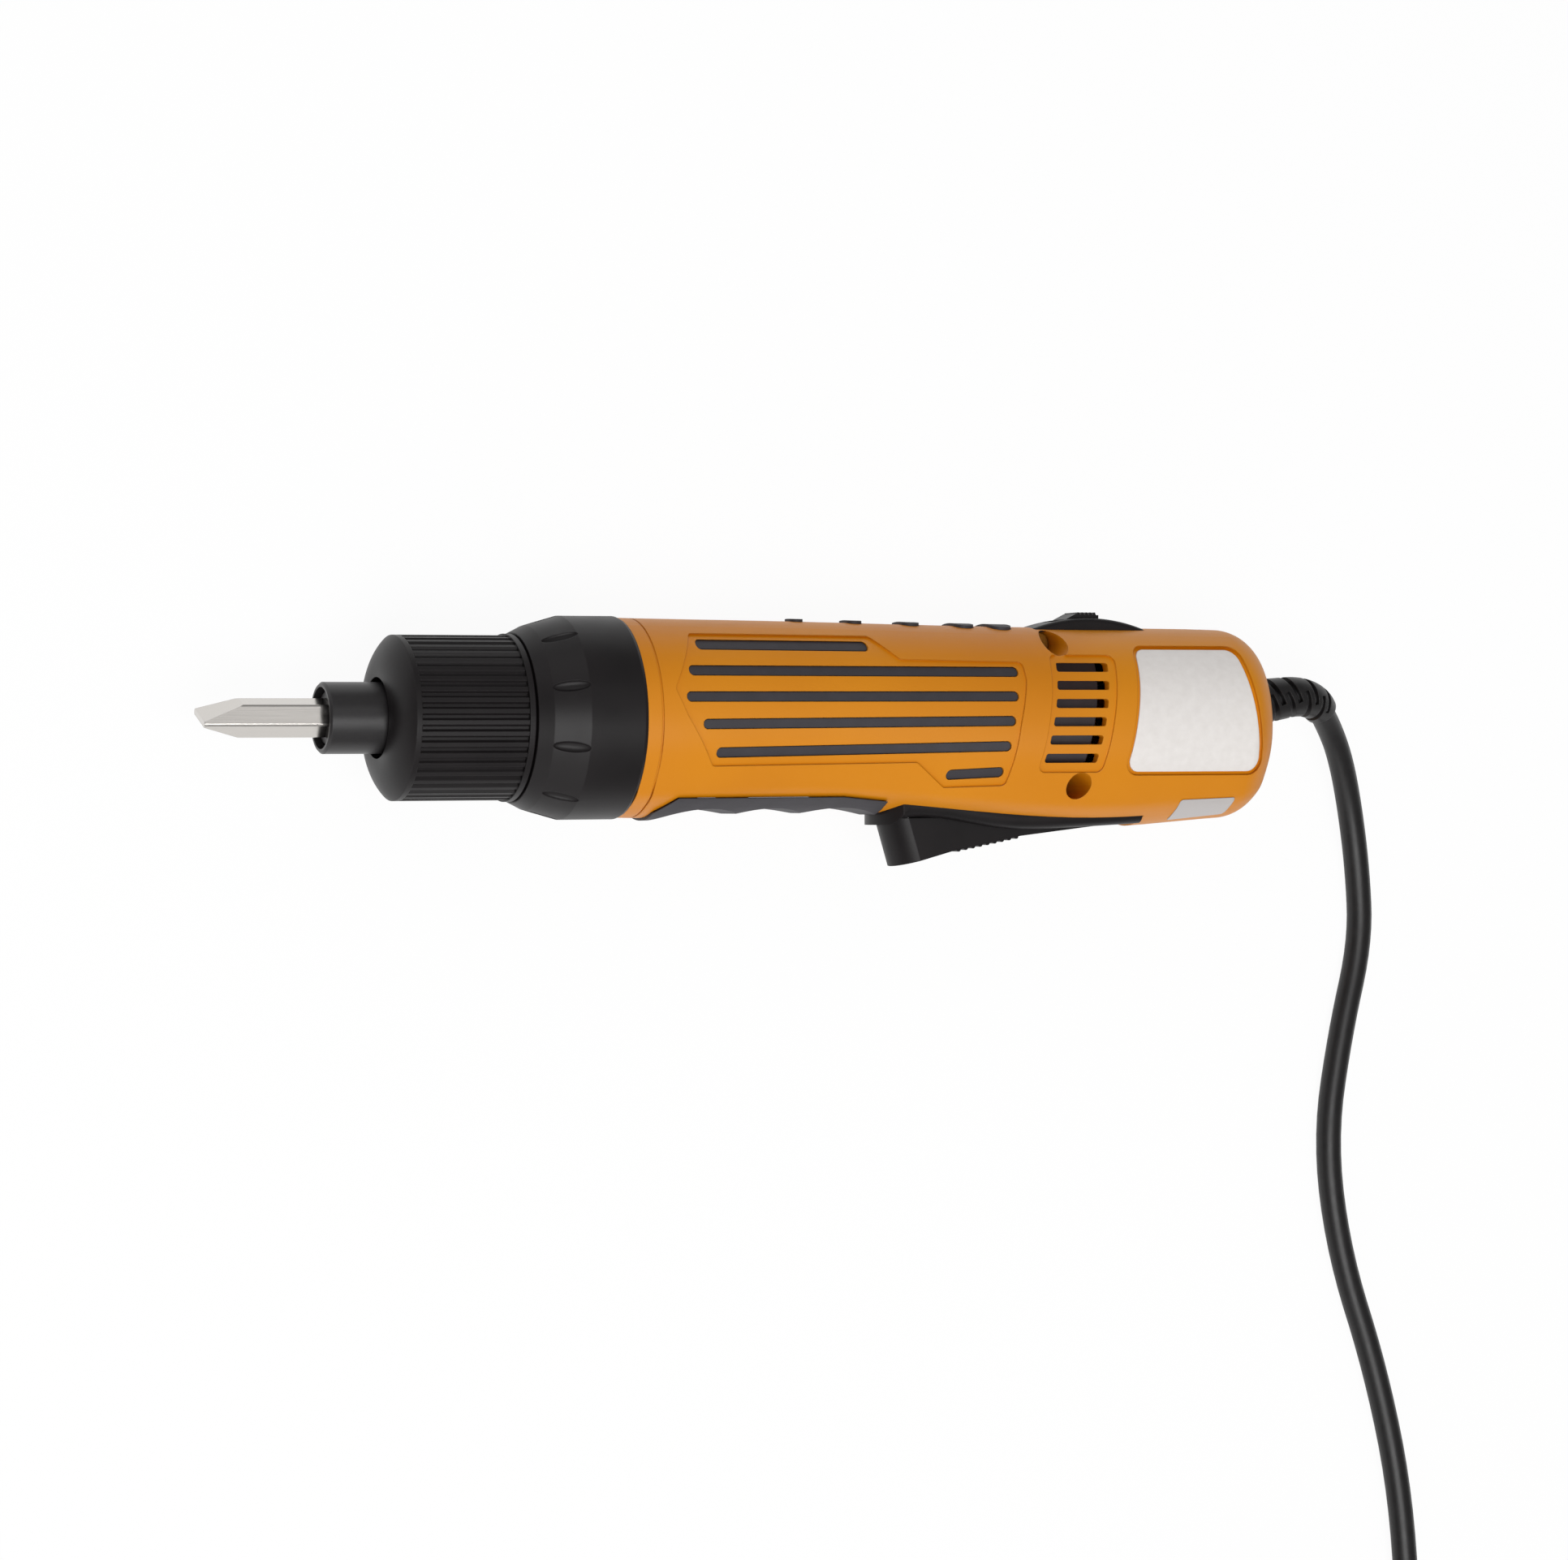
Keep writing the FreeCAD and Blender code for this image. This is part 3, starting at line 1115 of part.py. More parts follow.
def torque_knob():
    """Knurled knob with a domed front, held by a lip behind its ring."""
    edge = KNOB_FRONT + KNOB_NOSE
    flange = KNOB_REAR - KNOB_FLANGE_LENGTH
    front_arc = Part.Arc(
        Vector(KNOB_FRONT, KNOB_MOUTH, 0),
        Vector(KNOB_FRONT + KNOB_DOME_REACH * KNOB_NOSE,
               KNOB_MOUTH + KNOB_DOME_RISE * (KNOB_RADIUS - KNOB_MOUTH), 0),
        Vector(edge, KNOB_RADIUS, 0)).toShape()
    back = Part.makePolygon([
        Vector(edge, KNOB_RADIUS, 0), Vector(edge + 1, KNOB_RADIUS, 0), Vector(edge + 1, KNOB_MOUTH, 0),
        Vector(KNOB_FRONT, KNOB_MOUTH, 0)])
    nose = Part.Face(Part.Wire([front_arc] + back.Edges)).revolve(Vector(0, 0, 0), AXIS, 360)
    grip = knurled_bar(KNOB_RADIUS, KNOB_GROOVE, KNOB_RIBS, edge + 0.4, flange)
    knob = nose.fuse([grip, bar(KNOB_FLANGE, flange, KNOB_REAR)])
    lip_front = KNOB_FRONT + KNOB_LIP_OFFSET
    knob = knob.cut([
        bar(KNOB_MOUTH, KNOB_FRONT - 1, KNOB_REAR), bar(KNOB_BORE, KNOB_FRONT + KNOB_WALL, lip_front),
        bar(NOSE_RADIUS + FIT, lip_front - 1, KNOB_REAR), bar(KNOB_BORE, lip_front + KNOB_LIP, KNOB_REAR + 1)])
    keeper_front = lip_front - FIT - CLIP_THICKNESS
    keeper = ring(NOSE_RADIUS + 1.3, NOSE_RADIUS - CLIP_DEPTH, keeper_front, keeper_front + CLIP_THICKNESS)
    return {"torque_knob": knob.removeSplitter(), "knob_keeper_ring": keeper}


def dimple(angle):
    """Lens-shaped dimple in the cone of the collar."""
    slope = math.atan2(COLLAR_RADIUS - COLLAR_RIDGE_RADIUS, COLLAR_CONE - COLLAR_RIDGE)
    scale = FreeCAD.Matrix()
    scale.scale(DIMPLE_LENGTH / 2, DIMPLE_DEPTH, DIMPLE_WIDTH / 2)
    lens = Part.makeSphere(1.0).transformGeometry(scale)
    lens.rotate(Vector(0, 0, 0), Vector(0, 0, 1), math.degrees(slope))
    station = COLLAR_FRONT + COLLAR_RIDGE + DIMPLE_LENGTH / 2 - 0.2
    rise = COLLAR_RIDGE_RADIUS + (station - COLLAR_FRONT - COLLAR_RIDGE) * math.tan(slope)
    lens.translate(Vector(station, rise, 0))
    return around(lens, angle)


def collar_pieces():
    """Black collar with its nose tube and gear tube, and the bush in its nose."""
    guide_front = COLLAR_FRONT - 1.6
    outside = [
        (NOSE_FRONT, NOSE_BORE), (NOSE_FRONT, NOSE_RADIUS), (guide_front, NOSE_RADIUS),
        (guide_front, KNOB_BORE - FIT), (COLLAR_FRONT, KNOB_BORE - FIT), (COLLAR_FRONT, COLLAR_FRONT_RADIUS),
        (COLLAR_FRONT + COLLAR_RIDGE, COLLAR_RIDGE_RADIUS), (COLLAR_FRONT + COLLAR_CONE, COLLAR_RADIUS),
        (-2 * COLLAR_EDGE, COLLAR_RADIUS), (0, COLLAR_RADIUS - COLLAR_EDGE), (0, GEAR_TUBE_RADIUS),
        (GEAR_TUBE_REAR, GEAR_TUBE_RADIUS),
    ]
    driver_room = CARRIER_RADIUS + 0.4
    inside = [
        (GEAR_TUBE_REAR, RING_RADIUS), (RING_FRONT, RING_RADIUS), (RING_FRONT, driver_room),
        (DRIVER_FRONT - 0.4, driver_room), (DRIVER_FRONT - 0.4, NOSE_BORE),
    ]
    collar = turned(outside + inside)
    key_slots = []
    for index in range(NUT_KEYS):
        slot = block(NUT_FRONT + 0.7, NUT_REAR + NUT_TRAVEL + SLACK, 0, NOSE_RADIUS + 1,
                     -NUT_KEY_WIDTH / 2 - FIT, NUT_KEY_WIDTH / 2 + FIT)
        key_slots.append(around(slot, 360 * index / NUT_KEYS))
    lip_front = KNOB_FRONT + KNOB_LIP_OFFSET
    keeper_front = lip_front - FIT - CLIP_THICKNESS
    keeper_groove = ring(WIDE, NOSE_RADIUS - CLIP_DEPTH, keeper_front, keeper_front + CLIP_THICKNESS)
    dimples = [dimple(360 * index / DIMPLES) for index in range(DIMPLES)]
    keeper_groove = keeper_groove.common(bar(NOSE_RADIUS + 1, NOSE_FRONT, guide_front))
    collar = collar.cut(key_slots + [keeper_groove] + dimples)
    bush = ring(NOSE_BORE, SPINDLE_RADIUS + RUNNING, NOSE_FRONT, NOSE_FRONT + BUSH_LENGTH)
    return {"front_collar": collar, "front_bush": bush}


def clutch_pieces():
    """Torque clutch between the output carrier and the spindle."""
    nut = ring(NUT_RADIUS, NOSE_RADIUS + FIT, NUT_FRONT, NUT_REAR)
    keys = []
    for index in range(NUT_KEYS):
        key = block(NUT_FRONT + 1, NUT_REAR, SPINDLE_RADIUS + 1, NOSE_RADIUS + 1,
                    -NUT_KEY_WIDTH / 2, NUT_KEY_WIDTH / 2)
        keys.append(around(key, 360 * index / NUT_KEYS))
    bore = SPINDLE_RADIUS + 2 * FIT
    seat = ring(CLUTCH_RADIUS, bore, NUT_REAR, SEAT_REAR)
    coil = spring(
        Vector(SEAT_REAR + FIT, 0, 0), AXIS, Vector(0, 1, 0), PLATE_FRONT - SEAT_REAR - 2 * FIT,
        CLUTCH_SPRING_RADIUS, CLUTCH_SPRING_WIRE, CLUTCH_SPRING_TURNS)
    drive_hole = bar(SPINDLE_RADIUS + FIT, PLATE_FRONT - 1, CLUTCH_FACE + 1)
    drive_hole = drive_hole.common(block(-WIDE, 0, -CLUTCH_FLAT - FIT, CLUTCH_FLAT + FIT, -WIDE, WIDE))
    balls = []
    pockets = []
    for index in range(CLUTCH_BALLS):
        angle = 360 * (index + 0.5) / CLUTCH_BALLS
        place = Vector(CLUTCH_FACE + CLUTCH_GAP / 2, CLUTCH_PITCH, 0)
        balls.append(around(Part.makeSphere(CLUTCH_BALL_RADIUS, place), angle))
        pockets.append(around(Part.makeSphere(CLUTCH_BALL_RADIUS + RUNNING, place), angle))
    clutch_plate = bar(CLUTCH_RADIUS, PLATE_FRONT, CLUTCH_FACE).cut([drive_hole] + pockets)

    driver = bar(CARRIER_RADIUS, DRIVER_FRONT, DRIVER_REAR).cut(pockets)
    driver = driver.cut(bar(SPINDLE_RADIUS, DRIVER_FRONT - 1, DRIVER_REAR + 1))
    driver = driver.fuse(planet_pins(DRIVER_REAR - 1, OUTPUT_REAR + AXIAL_PLAY / 2))
    return {
        "pressure_nut": nut.fuse(keys),
        "spring_seat": seat,
        "clutch_spring": coil,
        "clutch_plate": clutch_plate,
        "clutch_balls": Part.makeCompound(balls),
        "output_carrier": driver,
    }


# Gears

def involute(angle):
    """Involute of a pressure angle in radians."""
    return math.tan(angle) - angle


def gear_outline(teeth, tip, root, thinning, phase):
    """Corners of a gear's outline as distances along Y and Z; the first tooth stands at the phase angle."""
    pitch_radius = GEAR_MODULE * teeth / 2
    pressure = math.radians(PRESSURE_ANGLE)
    base = pitch_radius * math.cos(pressure)
    start = max(root, base)
    flank = []
    for index in range(FLANK_POINTS):
        radius = start + (tip - start) * index / (FLANK_POINTS - 1)
        local = math.acos(min(1.0, base / radius))
        half = math.pi / (2 * teeth) + involute(pressure) - involute(local) - thinning / pitch_radius
        flank.append((radius, half))
    if root < base:
        flank.insert(0, (root, flank[0][1]))
    corners = []
    for index in range(teeth):
        middle = math.radians(phase) + 2 * math.pi * index / teeth
        for radius, half in flank:
            corners.append((radius * math.cos(middle - half), radius * math.sin(middle - half)))
        for radius, half in reversed(flank):
            corners.append((radius * math.cos(middle + half), radius * math.sin(middle + half)))
    return corners


def gear_bar(corners, start, end):
    """Gear outline carried along the axis."""
    points = [Vector(start, y, z) for y, z in corners]
    return Part.Face(Part.makePolygon(points + points[:1])).extrude(Vector(end - start, 0, 0))


def outer_gear(teeth, start, end, phase):
    """Spur gear on the tool axis."""
    pitch_radius = GEAR_MODULE * teeth / 2
    tip = pitch_radius + ADDENDUM * GEAR_MODULE
    root = pitch_radius - DEDENDUM * GEAR_MODULE
    return gear_bar(gear_outline(teeth, tip, root, BACKLASH, phase), start, end)


def planet_gear(start, end, angle):
    """Planet gear on its pin, meshing with sun and ring."""
    gear = outer_gear(PLANET_TEETH, start, end, 180 / PLANET_TEETH)
    gear = gear.cut(bar(PLANET_PIN_RADIUS + RUNNING, start - 1, end + 1))
    gear.translate(Vector(0, CENTRE_DISTANCE, 0))
    return around(gear, angle)


def planet_pins(start, end):
    """Pins that carry the planets of one stage."""
    return [around(bar(PLANET_PIN_RADIUS, start, end, CENTRE_DISTANCE), 360 * i / PLANETS) for i in range(PLANETS)]


def gear_pieces():
    """Ring gear, middle carrier with its sun, planets and motor pinion."""
    pitch_radius = GEAR_MODULE * RING_TEETH / 2
    tip = pitch_radius - ADDENDUM * GEAR_MODULE
    root = pitch_radius + DEDENDUM * GEAR_MODULE
    space = gear_outline(RING_TEETH, root, tip, -BACKLASH, 180 / RING_TEETH)
    pieces = {
        "ring_gear": bar(RING_RADIUS, RING_FRONT, RING_REAR).cut(gear_bar(space, RING_FRONT - 1, RING_REAR + 1)),
    }
    middle = bar(CARRIER_RADIUS, MIDDLE_FRONT, MIDDLE_REAR)
    middle = middle.fuse([outer_gear(SUN_TEETH, OUTPUT_FRONT, MIDDLE_FRONT + 1, 0)])
    pieces["middle_carrier"] = middle.fuse(planet_pins(MIDDLE_REAR - 1, INPUT_REAR + AXIAL_PLAY / 2))
    for index in range(PLANETS):
        angle = 360 * index / PLANETS
        pieces["output_planet_%d" % (index + 1)] = planet_gear(OUTPUT_FRONT, OUTPUT_REAR, angle)
        pieces["input_planet_%d" % (index + 1)] = planet_gear(INPUT_FRONT, INPUT_REAR, angle)
    pinion = outer_gear(SUN_TEETH, INPUT_FRONT, INPUT_REAR + AXIAL_PLAY, 0)
    pieces["motor_pinion"] = pinion.cut(bar(SHAFT_RADIUS, INPUT_FRONT - 1, INPUT_REAR + 2))
    return pieces


# Motor

def motor_pieces():
    """Brushed motor with its fan."""
    bearing_hole = bar(BEARING_RADIUS, RING_REAR - 1, CAP_REAR + 1)
    can = ring(MOTOR_RADIUS, MOTOR_RADIUS - MOTOR_WALL, MOTOR_FRONT, MOTOR_REAR)
    can = can.fuse([bar(MOTOR_RADIUS, MOTOR_FRONT, MOTOR_FRONT + MOTOR_FRONT_WALL),
                    bar(RING_RADIUS, RING_REAR, MOTOR_FRONT)])
    can = can.cut(bearing_hole)
    bore = MOTOR_RADIUS - MOTOR_WALL
    magnet = ring(bore, bore - MAGNET_THICKNESS, CORE_FRONT - 1, CORE_REAR + 1)
    wedge = math.radians((180 - MAGNET_ANGLE) / 2)
    reach = WIDE * math.tan(wedge)
    gap_front = CORE_FRONT - 2
    gap_points = [Vector(gap_front, 0, 0), Vector(gap_front, reach, WIDE), Vector(gap_front, -reach, WIDE)]
    gap = Part.Face(Part.makePolygon(gap_points + gap_points[:1])).extrude(Vector(CORE_LENGTH + 4, 0, 0))
    magnets = magnet.cut([gap, around(gap, 180)])

    shaft = bar(SHAFT_RADIUS, INPUT_FRONT, FAN_REAR + 1)
    core = ring(CORE_HUB, SHAFT_RADIUS, CORE_FRONT, CORE_REAR)
    shoe = ring(CORE_RADIUS, CORE_RADIUS - POLE_SHOE, CORE_FRONT, CORE_REAR)
    poles = []
    shoe_cuts = []
    for index in range(CORE_POLES):
        angle = 360 * index / CORE_POLES
        pole = block(CORE_FRONT, CORE_REAR, CORE_HUB - 1, CORE_RADIUS - POLE_SHOE / 2,
                     -POLE_WIDTH / 2, POLE_WIDTH / 2)
        poles.append(around(pole, angle))
        mouth = block(CORE_FRONT - 1, CORE_REAR + 1, 0, WIDE, -POLE_SHOE / 2, POLE_SHOE / 2)
        shoe_cuts.append(around(mouth, angle + 180 / CORE_POLES))
    core = core.fuse([shoe.cut(shoe_cuts)] + poles)
    wrap = ring(WINDING_RADIUS, CORE_HUB + FIT, CORE_FRONT - WINDING_OVERHANG, CORE_REAR + WINDING_OVERHANG)
    pole_room = block(CORE_FRONT - FIT, CORE_REAR + FIT, 0, WIDE, -POLE_WIDTH / 2 - FIT, POLE_WIDTH / 2 + FIT)
    keep_out = [around(pole_room, 360 * index / CORE_POLES) for index in range(CORE_POLES)]
    keep_out.append(ring(WIDE, CORE_RADIUS - POLE_SHOE - FIT, CORE_FRONT - FIT, CORE_REAR + FIT))
    winding = wrap.cut(keep_out)
    rear = COMMUTATOR_FRONT + COMMUTATOR_LENGTH
    commutator = ring(COMMUTATOR_RADIUS, SHAFT_RADIUS, COMMUTATOR_FRONT, rear)
    slit = block(COMMUTATOR_FRONT - 1, rear + 1, SHAFT_RADIUS + 1, WIDE, -COMMUTATOR_SLIT / 2, COMMUTATOR_SLIT / 2)
    commutator = commutator.cut([around(slit, 360 * index / CORE_POLES) for index in range(CORE_POLES)])

    brush_front = COMMUTATOR_FRONT + (COMMUTATOR_LENGTH - BRUSH_LENGTH) / 2
    brush = block(brush_front, brush_front + BRUSH_LENGTH, -BRUSH_WIDTH / 2, BRUSH_WIDTH / 2,
                  COMMUTATOR_RADIUS + RUNNING, BRUSH_REACH)
    cap = bar(MOTOR_RADIUS, MOTOR_REAR, CAP_REAR).fuse(bar(bore - FIT, COMMUTATOR_FRONT, MOTOR_REAR + 1))
    cap = cap.cut([
        bar(COMMUTATOR_RADIUS + 1, COMMUTATOR_FRONT - 1, MOTOR_REAR + 1),
        bar(BEARING_RADIUS, MOTOR_REAR, CAP_REAR + 1),
        block(brush_front, brush_front + BRUSH_LENGTH, -BRUSH_WIDTH / 2, BRUSH_WIDTH / 2, -WIDE, WIDE)])
    front_bearing = ring(BEARING_RADIUS, SHAFT_RADIUS + RUNNING, MOTOR_FRONT, MOTOR_FRONT + BEARING_LENGTH)
    rear_bearing = ring(BEARING_RADIUS, SHAFT_RADIUS + RUNNING, CAP_REAR - BEARING_LENGTH, CAP_REAR)

    fan = bar(FAN_HUB, FAN_FRONT, FAN_REAR)
    blade = block(FAN_FRONT + 1, FAN_REAR, FAN_HUB - 1, FAN_RADIUS, -FAN_BLADE / 2, FAN_BLADE / 2)
    disc = bar(FAN_RADIUS, FAN_FRONT, FAN_FRONT + 1.2)
    fan = fan.fuse([disc] + [around(blade, 360 * index / FAN_BLADES) for index in range(FAN_BLADES)])
    fan = fan.cut(bar(SHAFT_RADIUS, FAN_FRONT - 1, FAN_REAR + 1))
    return {
        "motor_can": can,
        "motor_magnets": magnets,
        "rotor_shaft": shaft,
        "rotor_core": core,
        "rotor_winding": winding,
        "commutator": commutator,
        "motor_brushes": Part.makeCompound([brush, around(brush, 180)]),
        "motor_end_cap": cap,
        "motor_bearings": Part.makeCompound([front_bearing, rear_bearing]),
        "cooling_fan": fan,
    }


# Tail

def tail_pieces():
    """Control board, its parts, the cord clamp and the leads between them."""
    half = BOARD_THICKNESS / 2
    board = block(BOARD_FRONT, BOARD_FRONT + BOARD_LENGTH, -BOARD_HALF, BOARD_HALF, -half, half)
    middle = BOARD_FRONT + BOARD_LENGTH / 2
    can_x, can_y = BOARD_CAN_PLACE
    parts = [post(BOARD_CAN_RADIUS, middle + can_x, can_y, half, half + BOARD_CAN_HEIGHT)]
    for start, end, low, high, height in BOARD_CHIPS:
        parts.append(block(middle + start, middle + end, low, high, half, half + height))
    clamp = block(CLAMP_FRONT, CLAMP_FRONT + CLAMP_LENGTH, CORD_HEIGHT - CLAMP_RISE, CORD_HEIGHT + CLAMP_RISE,
                  -CLAMP_HALF, CLAMP_HALF)
    clamp = clamp.cut(bar(CORD_RADIUS, CLAMP_FRONT - 1, CLAMP_FRONT + CLAMP_LENGTH + 1, CORD_HEIGHT))
    flange_front = CAVITY_REAR - FIT - FLANGE_THICKNESS
    stub = bar(CORD_RADIUS, STUB_FRONT, flange_front, CORD_HEIGHT)
    motor_leads = []
    for side in (1, -1):
        points = [
            Vector(CAP_REAR, LEAD_HEIGHT, side * LEAD_SIDE),
            Vector(BOARD_FRONT - 6, LEAD_HEIGHT, side * LEAD_SIDE),
            Vector(BOARD_FRONT + 1.5, BOARD_HALF - 1, side * 5),
            Vector(BOARD_FRONT + 1.5, BOARD_HALF - 1, side * half)]
        motor_leads.append(tube(points, LEAD_RADIUS))
    return {
        "control_board": Part.makeCompound([board] + parts),
        "cord_clamp": clamp,
        "inner_leads": Part.makeCompound([stub] + motor_leads),
    }


# Cord

def relief_frame():
    """Start of the strain relief's bend, and the directions before and after it."""
    rise = math.radians(RELIEF_RISE)
    start = Vector(HANDLE_LENGTH + RELIEF_GAP, CORD_HEIGHT, 0)
    ahead = Vector(math.cos(rise), math.sin(rise), 0)
    side = math.radians(RELIEF_SIDE)
    across = Vector(0, -math.sin(side), -math.cos(side))
    across = (across - ahead * across.dot(ahead)).normalize()
    return start, ahead, across


def relief_place(length):
    """Point and direction of the strain relief's middle line at a length from the tail."""
    start, ahead, across = relief_frame()
    bend_length = RELIEF_BEND * math.radians(RELIEF_TURN)
    if length <= RELIEF_STRAIGHT:
        return start + ahead * length, ahead
    angle = min((length - RELIEF_STRAIGHT) / bend_length, 1.0) * math.radians(RELIEF_TURN)
    corner = start + ahead * RELIEF_STRAIGHT
    point = corner + ahead * (RELIEF_BEND * math.sin(angle)) + across * (RELIEF_BEND * (1 - math.cos(angle)))
    return point, ahead * math.cos(angle) + across * math.sin(angle)


def strain_relief():
    """Rubber strain relief: flange and neck in the tail, tapered bent stem with staggered slots."""
    total = RELIEF_STRAIGHT + RELIEF_BEND * math.radians(RELIEF_TURN)
    start, start_way = relief_place(0)
    corner, corner_way = relief_place(RELIEF_STRAIGHT)
    middle, middle_way = relief_place((RELIEF_STRAIGHT + total) / 2)
    end, end_way = relief_place(total)
    path = Part.Wire([Part.LineSegment(start, corner).toShape(), Part.Arc(corner, middle, end).toShape()])
    ends = [disc_wire(start, start_way, RELIEF_RADIUS), disc_wire(end, end_way, RELIEF_END_RADIUS)]
    stem = path.makePipeShell(ends, True, False)
    flange_front = CAVITY_REAR - FIT - FLANGE_THICKNESS
    neck = bar(NECK_RADIUS, flange_front, HANDLE_LENGTH + 2 * RELIEF_GAP, CORD_HEIGHT)
    flange = bar(FLANGE_RADIUS, flange_front, flange_front + FLANGE_THICKNESS, CORD_HEIGHT)
    relief = stem.fuse([neck, flange])
    cuts = []
    for index in range(2 * RELIEF_SLOTS):
        point, way = relief_place(total * (RELIEF_SLOT_FIRST + RELIEF_SLOT_SPREAD * index / (2 * RELIEF_SLOTS - 1)))
        up = Vector(0, 0, 1).cross(way).normalize()
        side = 1 if index % 2 else -1
        corner = Vector(-RELIEF_SLOT_WIDTH / 2, -RELIEF_SLOT_PAST, -2 * RELIEF_RADIUS)
        slot = Part.makeBox(RELIEF_SLOT_WIDTH, 2 * RELIEF_RADIUS, 4 * RELIEF_RADIUS, corner)
        slot.rotate(Vector(0, 0, 0), Vector(0, 0, 1), side * RELIEF_SLOT_LEAN)
        slot = slot.cut(bar(RELIEF_CORE, -2 * RELIEF_RADIUS, 2 * RELIEF_RADIUS))
        across = way.cross(up * side)
        frame = FreeCAD.Matrix(
            way.x, side * up.x, across.x, point.x,
            way.y, side * up.y, across.y, point.y,
            way.z, side * up.z, across.z, point.z,
            0, 0, 0, 1)
        slot.Placement = FreeCAD.Placement(frame).multiply(slot.Placement)
        cuts.append(slot)
    return relief.cut(cuts), relief_place(total)


def coil_place(turn):
    """Point of the put-away coil at a turn: spiral in, climb a layer where it reverses, spiral out."""
    middle = COIL_TURNS / 2
    inner = COIL_RADIUS - COIL_STEP * middle
    radius = inner + COIL_STEP * abs(turn - middle)
    climb = min(max((turn - middle) * 2 + 0.5, 0.0), 1.0)
    smooth = climb * climb * (3 - 2 * climb)
    close = abs(turn - middle)
    if close < 0.25:
        radius = inner + COIL_STEP * (close * close / 0.5 + 0.125)
    angle = -2 * math.pi * turn
    low = -COLLAR_RADIUS + CORD_RADIUS + COIL_LIFT
    return Vector(
        COIL_STATION + radius * math.cos(angle), -COIL_DEPTH + radius * math.sin(angle), low + COIL_LAYER * smooth)


def cord_pieces():
    """Strain relief, free cord, put-away coil and its tie."""
    relief, (exit_point, exit_way) = strain_relief()
    coil, coil_path, coil_start, coil_way, coil_end = wound(
        coil_place, COIL_TURNS, COIL_STEPS_PER_TURN, CORD_RADIUS, COIL_TAIL)
    points = [exit_point, exit_point + exit_way * RELIEF_LEAD] + [Vector(*place) for place in CORD_ROUTE]
    points += [coil_start - coil_way * COIL_APPROACH, coil_start]
    for before, point, after in zip(points, points[1:], points[2:]):
        print("cord radius %.1f mm" % corner_arc(before, point, after, None)[3])
    path = Part.Wire(rounded_edges(points, None, False))
    lead = path.makePipeShell([disc_wire(points[0], points[1] - points[0], CORD_RADIUS)], True, False)
    section = math.pi * CORD_RADIUS ** 2
    print("cord lead %.1f mm, volume ratio %.4f" % (path.Length, lead.Volume / section / path.Length))
    print("cord coil %.1f mm, volume ratio %.4f" % (coil_path.Length, coil.Volume / section / coil_path.Length))
    print("coil gap to itself %.2f mm" % own_gap(coil_place, COIL_TURNS, CORD_RADIUS))
    print("cord whole %.0f mm" % (path.Length + coil_path.Length))

    middle = COIL_TURNS / 2
    inner = COIL_RADIUS - COIL_STEP * middle
    low = -COLLAR_RADIUS + COIL_LIFT - TIE_SLACK / 2
    high = -COLLAR_RADIUS + COIL_LIFT + COIL_LAYER + 2 * CORD_RADIUS + TIE_SLACK
    near = -COIL_DEPTH + inner + COIL_STEP / 4 - CORD_RADIUS - TIE_SLACK
    far = -COIL_DEPTH + COIL_RADIUS - COIL_STEP / 4 + CORD_RADIUS + TIE_SLACK
    front = COIL_STATION - TIE_WIDTH / 2
    band = TIE_THICKNESS
    tie = block(front, front + TIE_WIDTH, near - band, far + band, low - band, high + band)
    tie = tie.cut(block(front - 1, front + TIE_WIDTH + 1, near, far, low, high))
    pieces = {"strain_relief": relief, "cord_lead": lead, "cord_coil": coil, "cord_tie": tie}
    pieces.update(plug_pieces(coil_end))
    return pieces


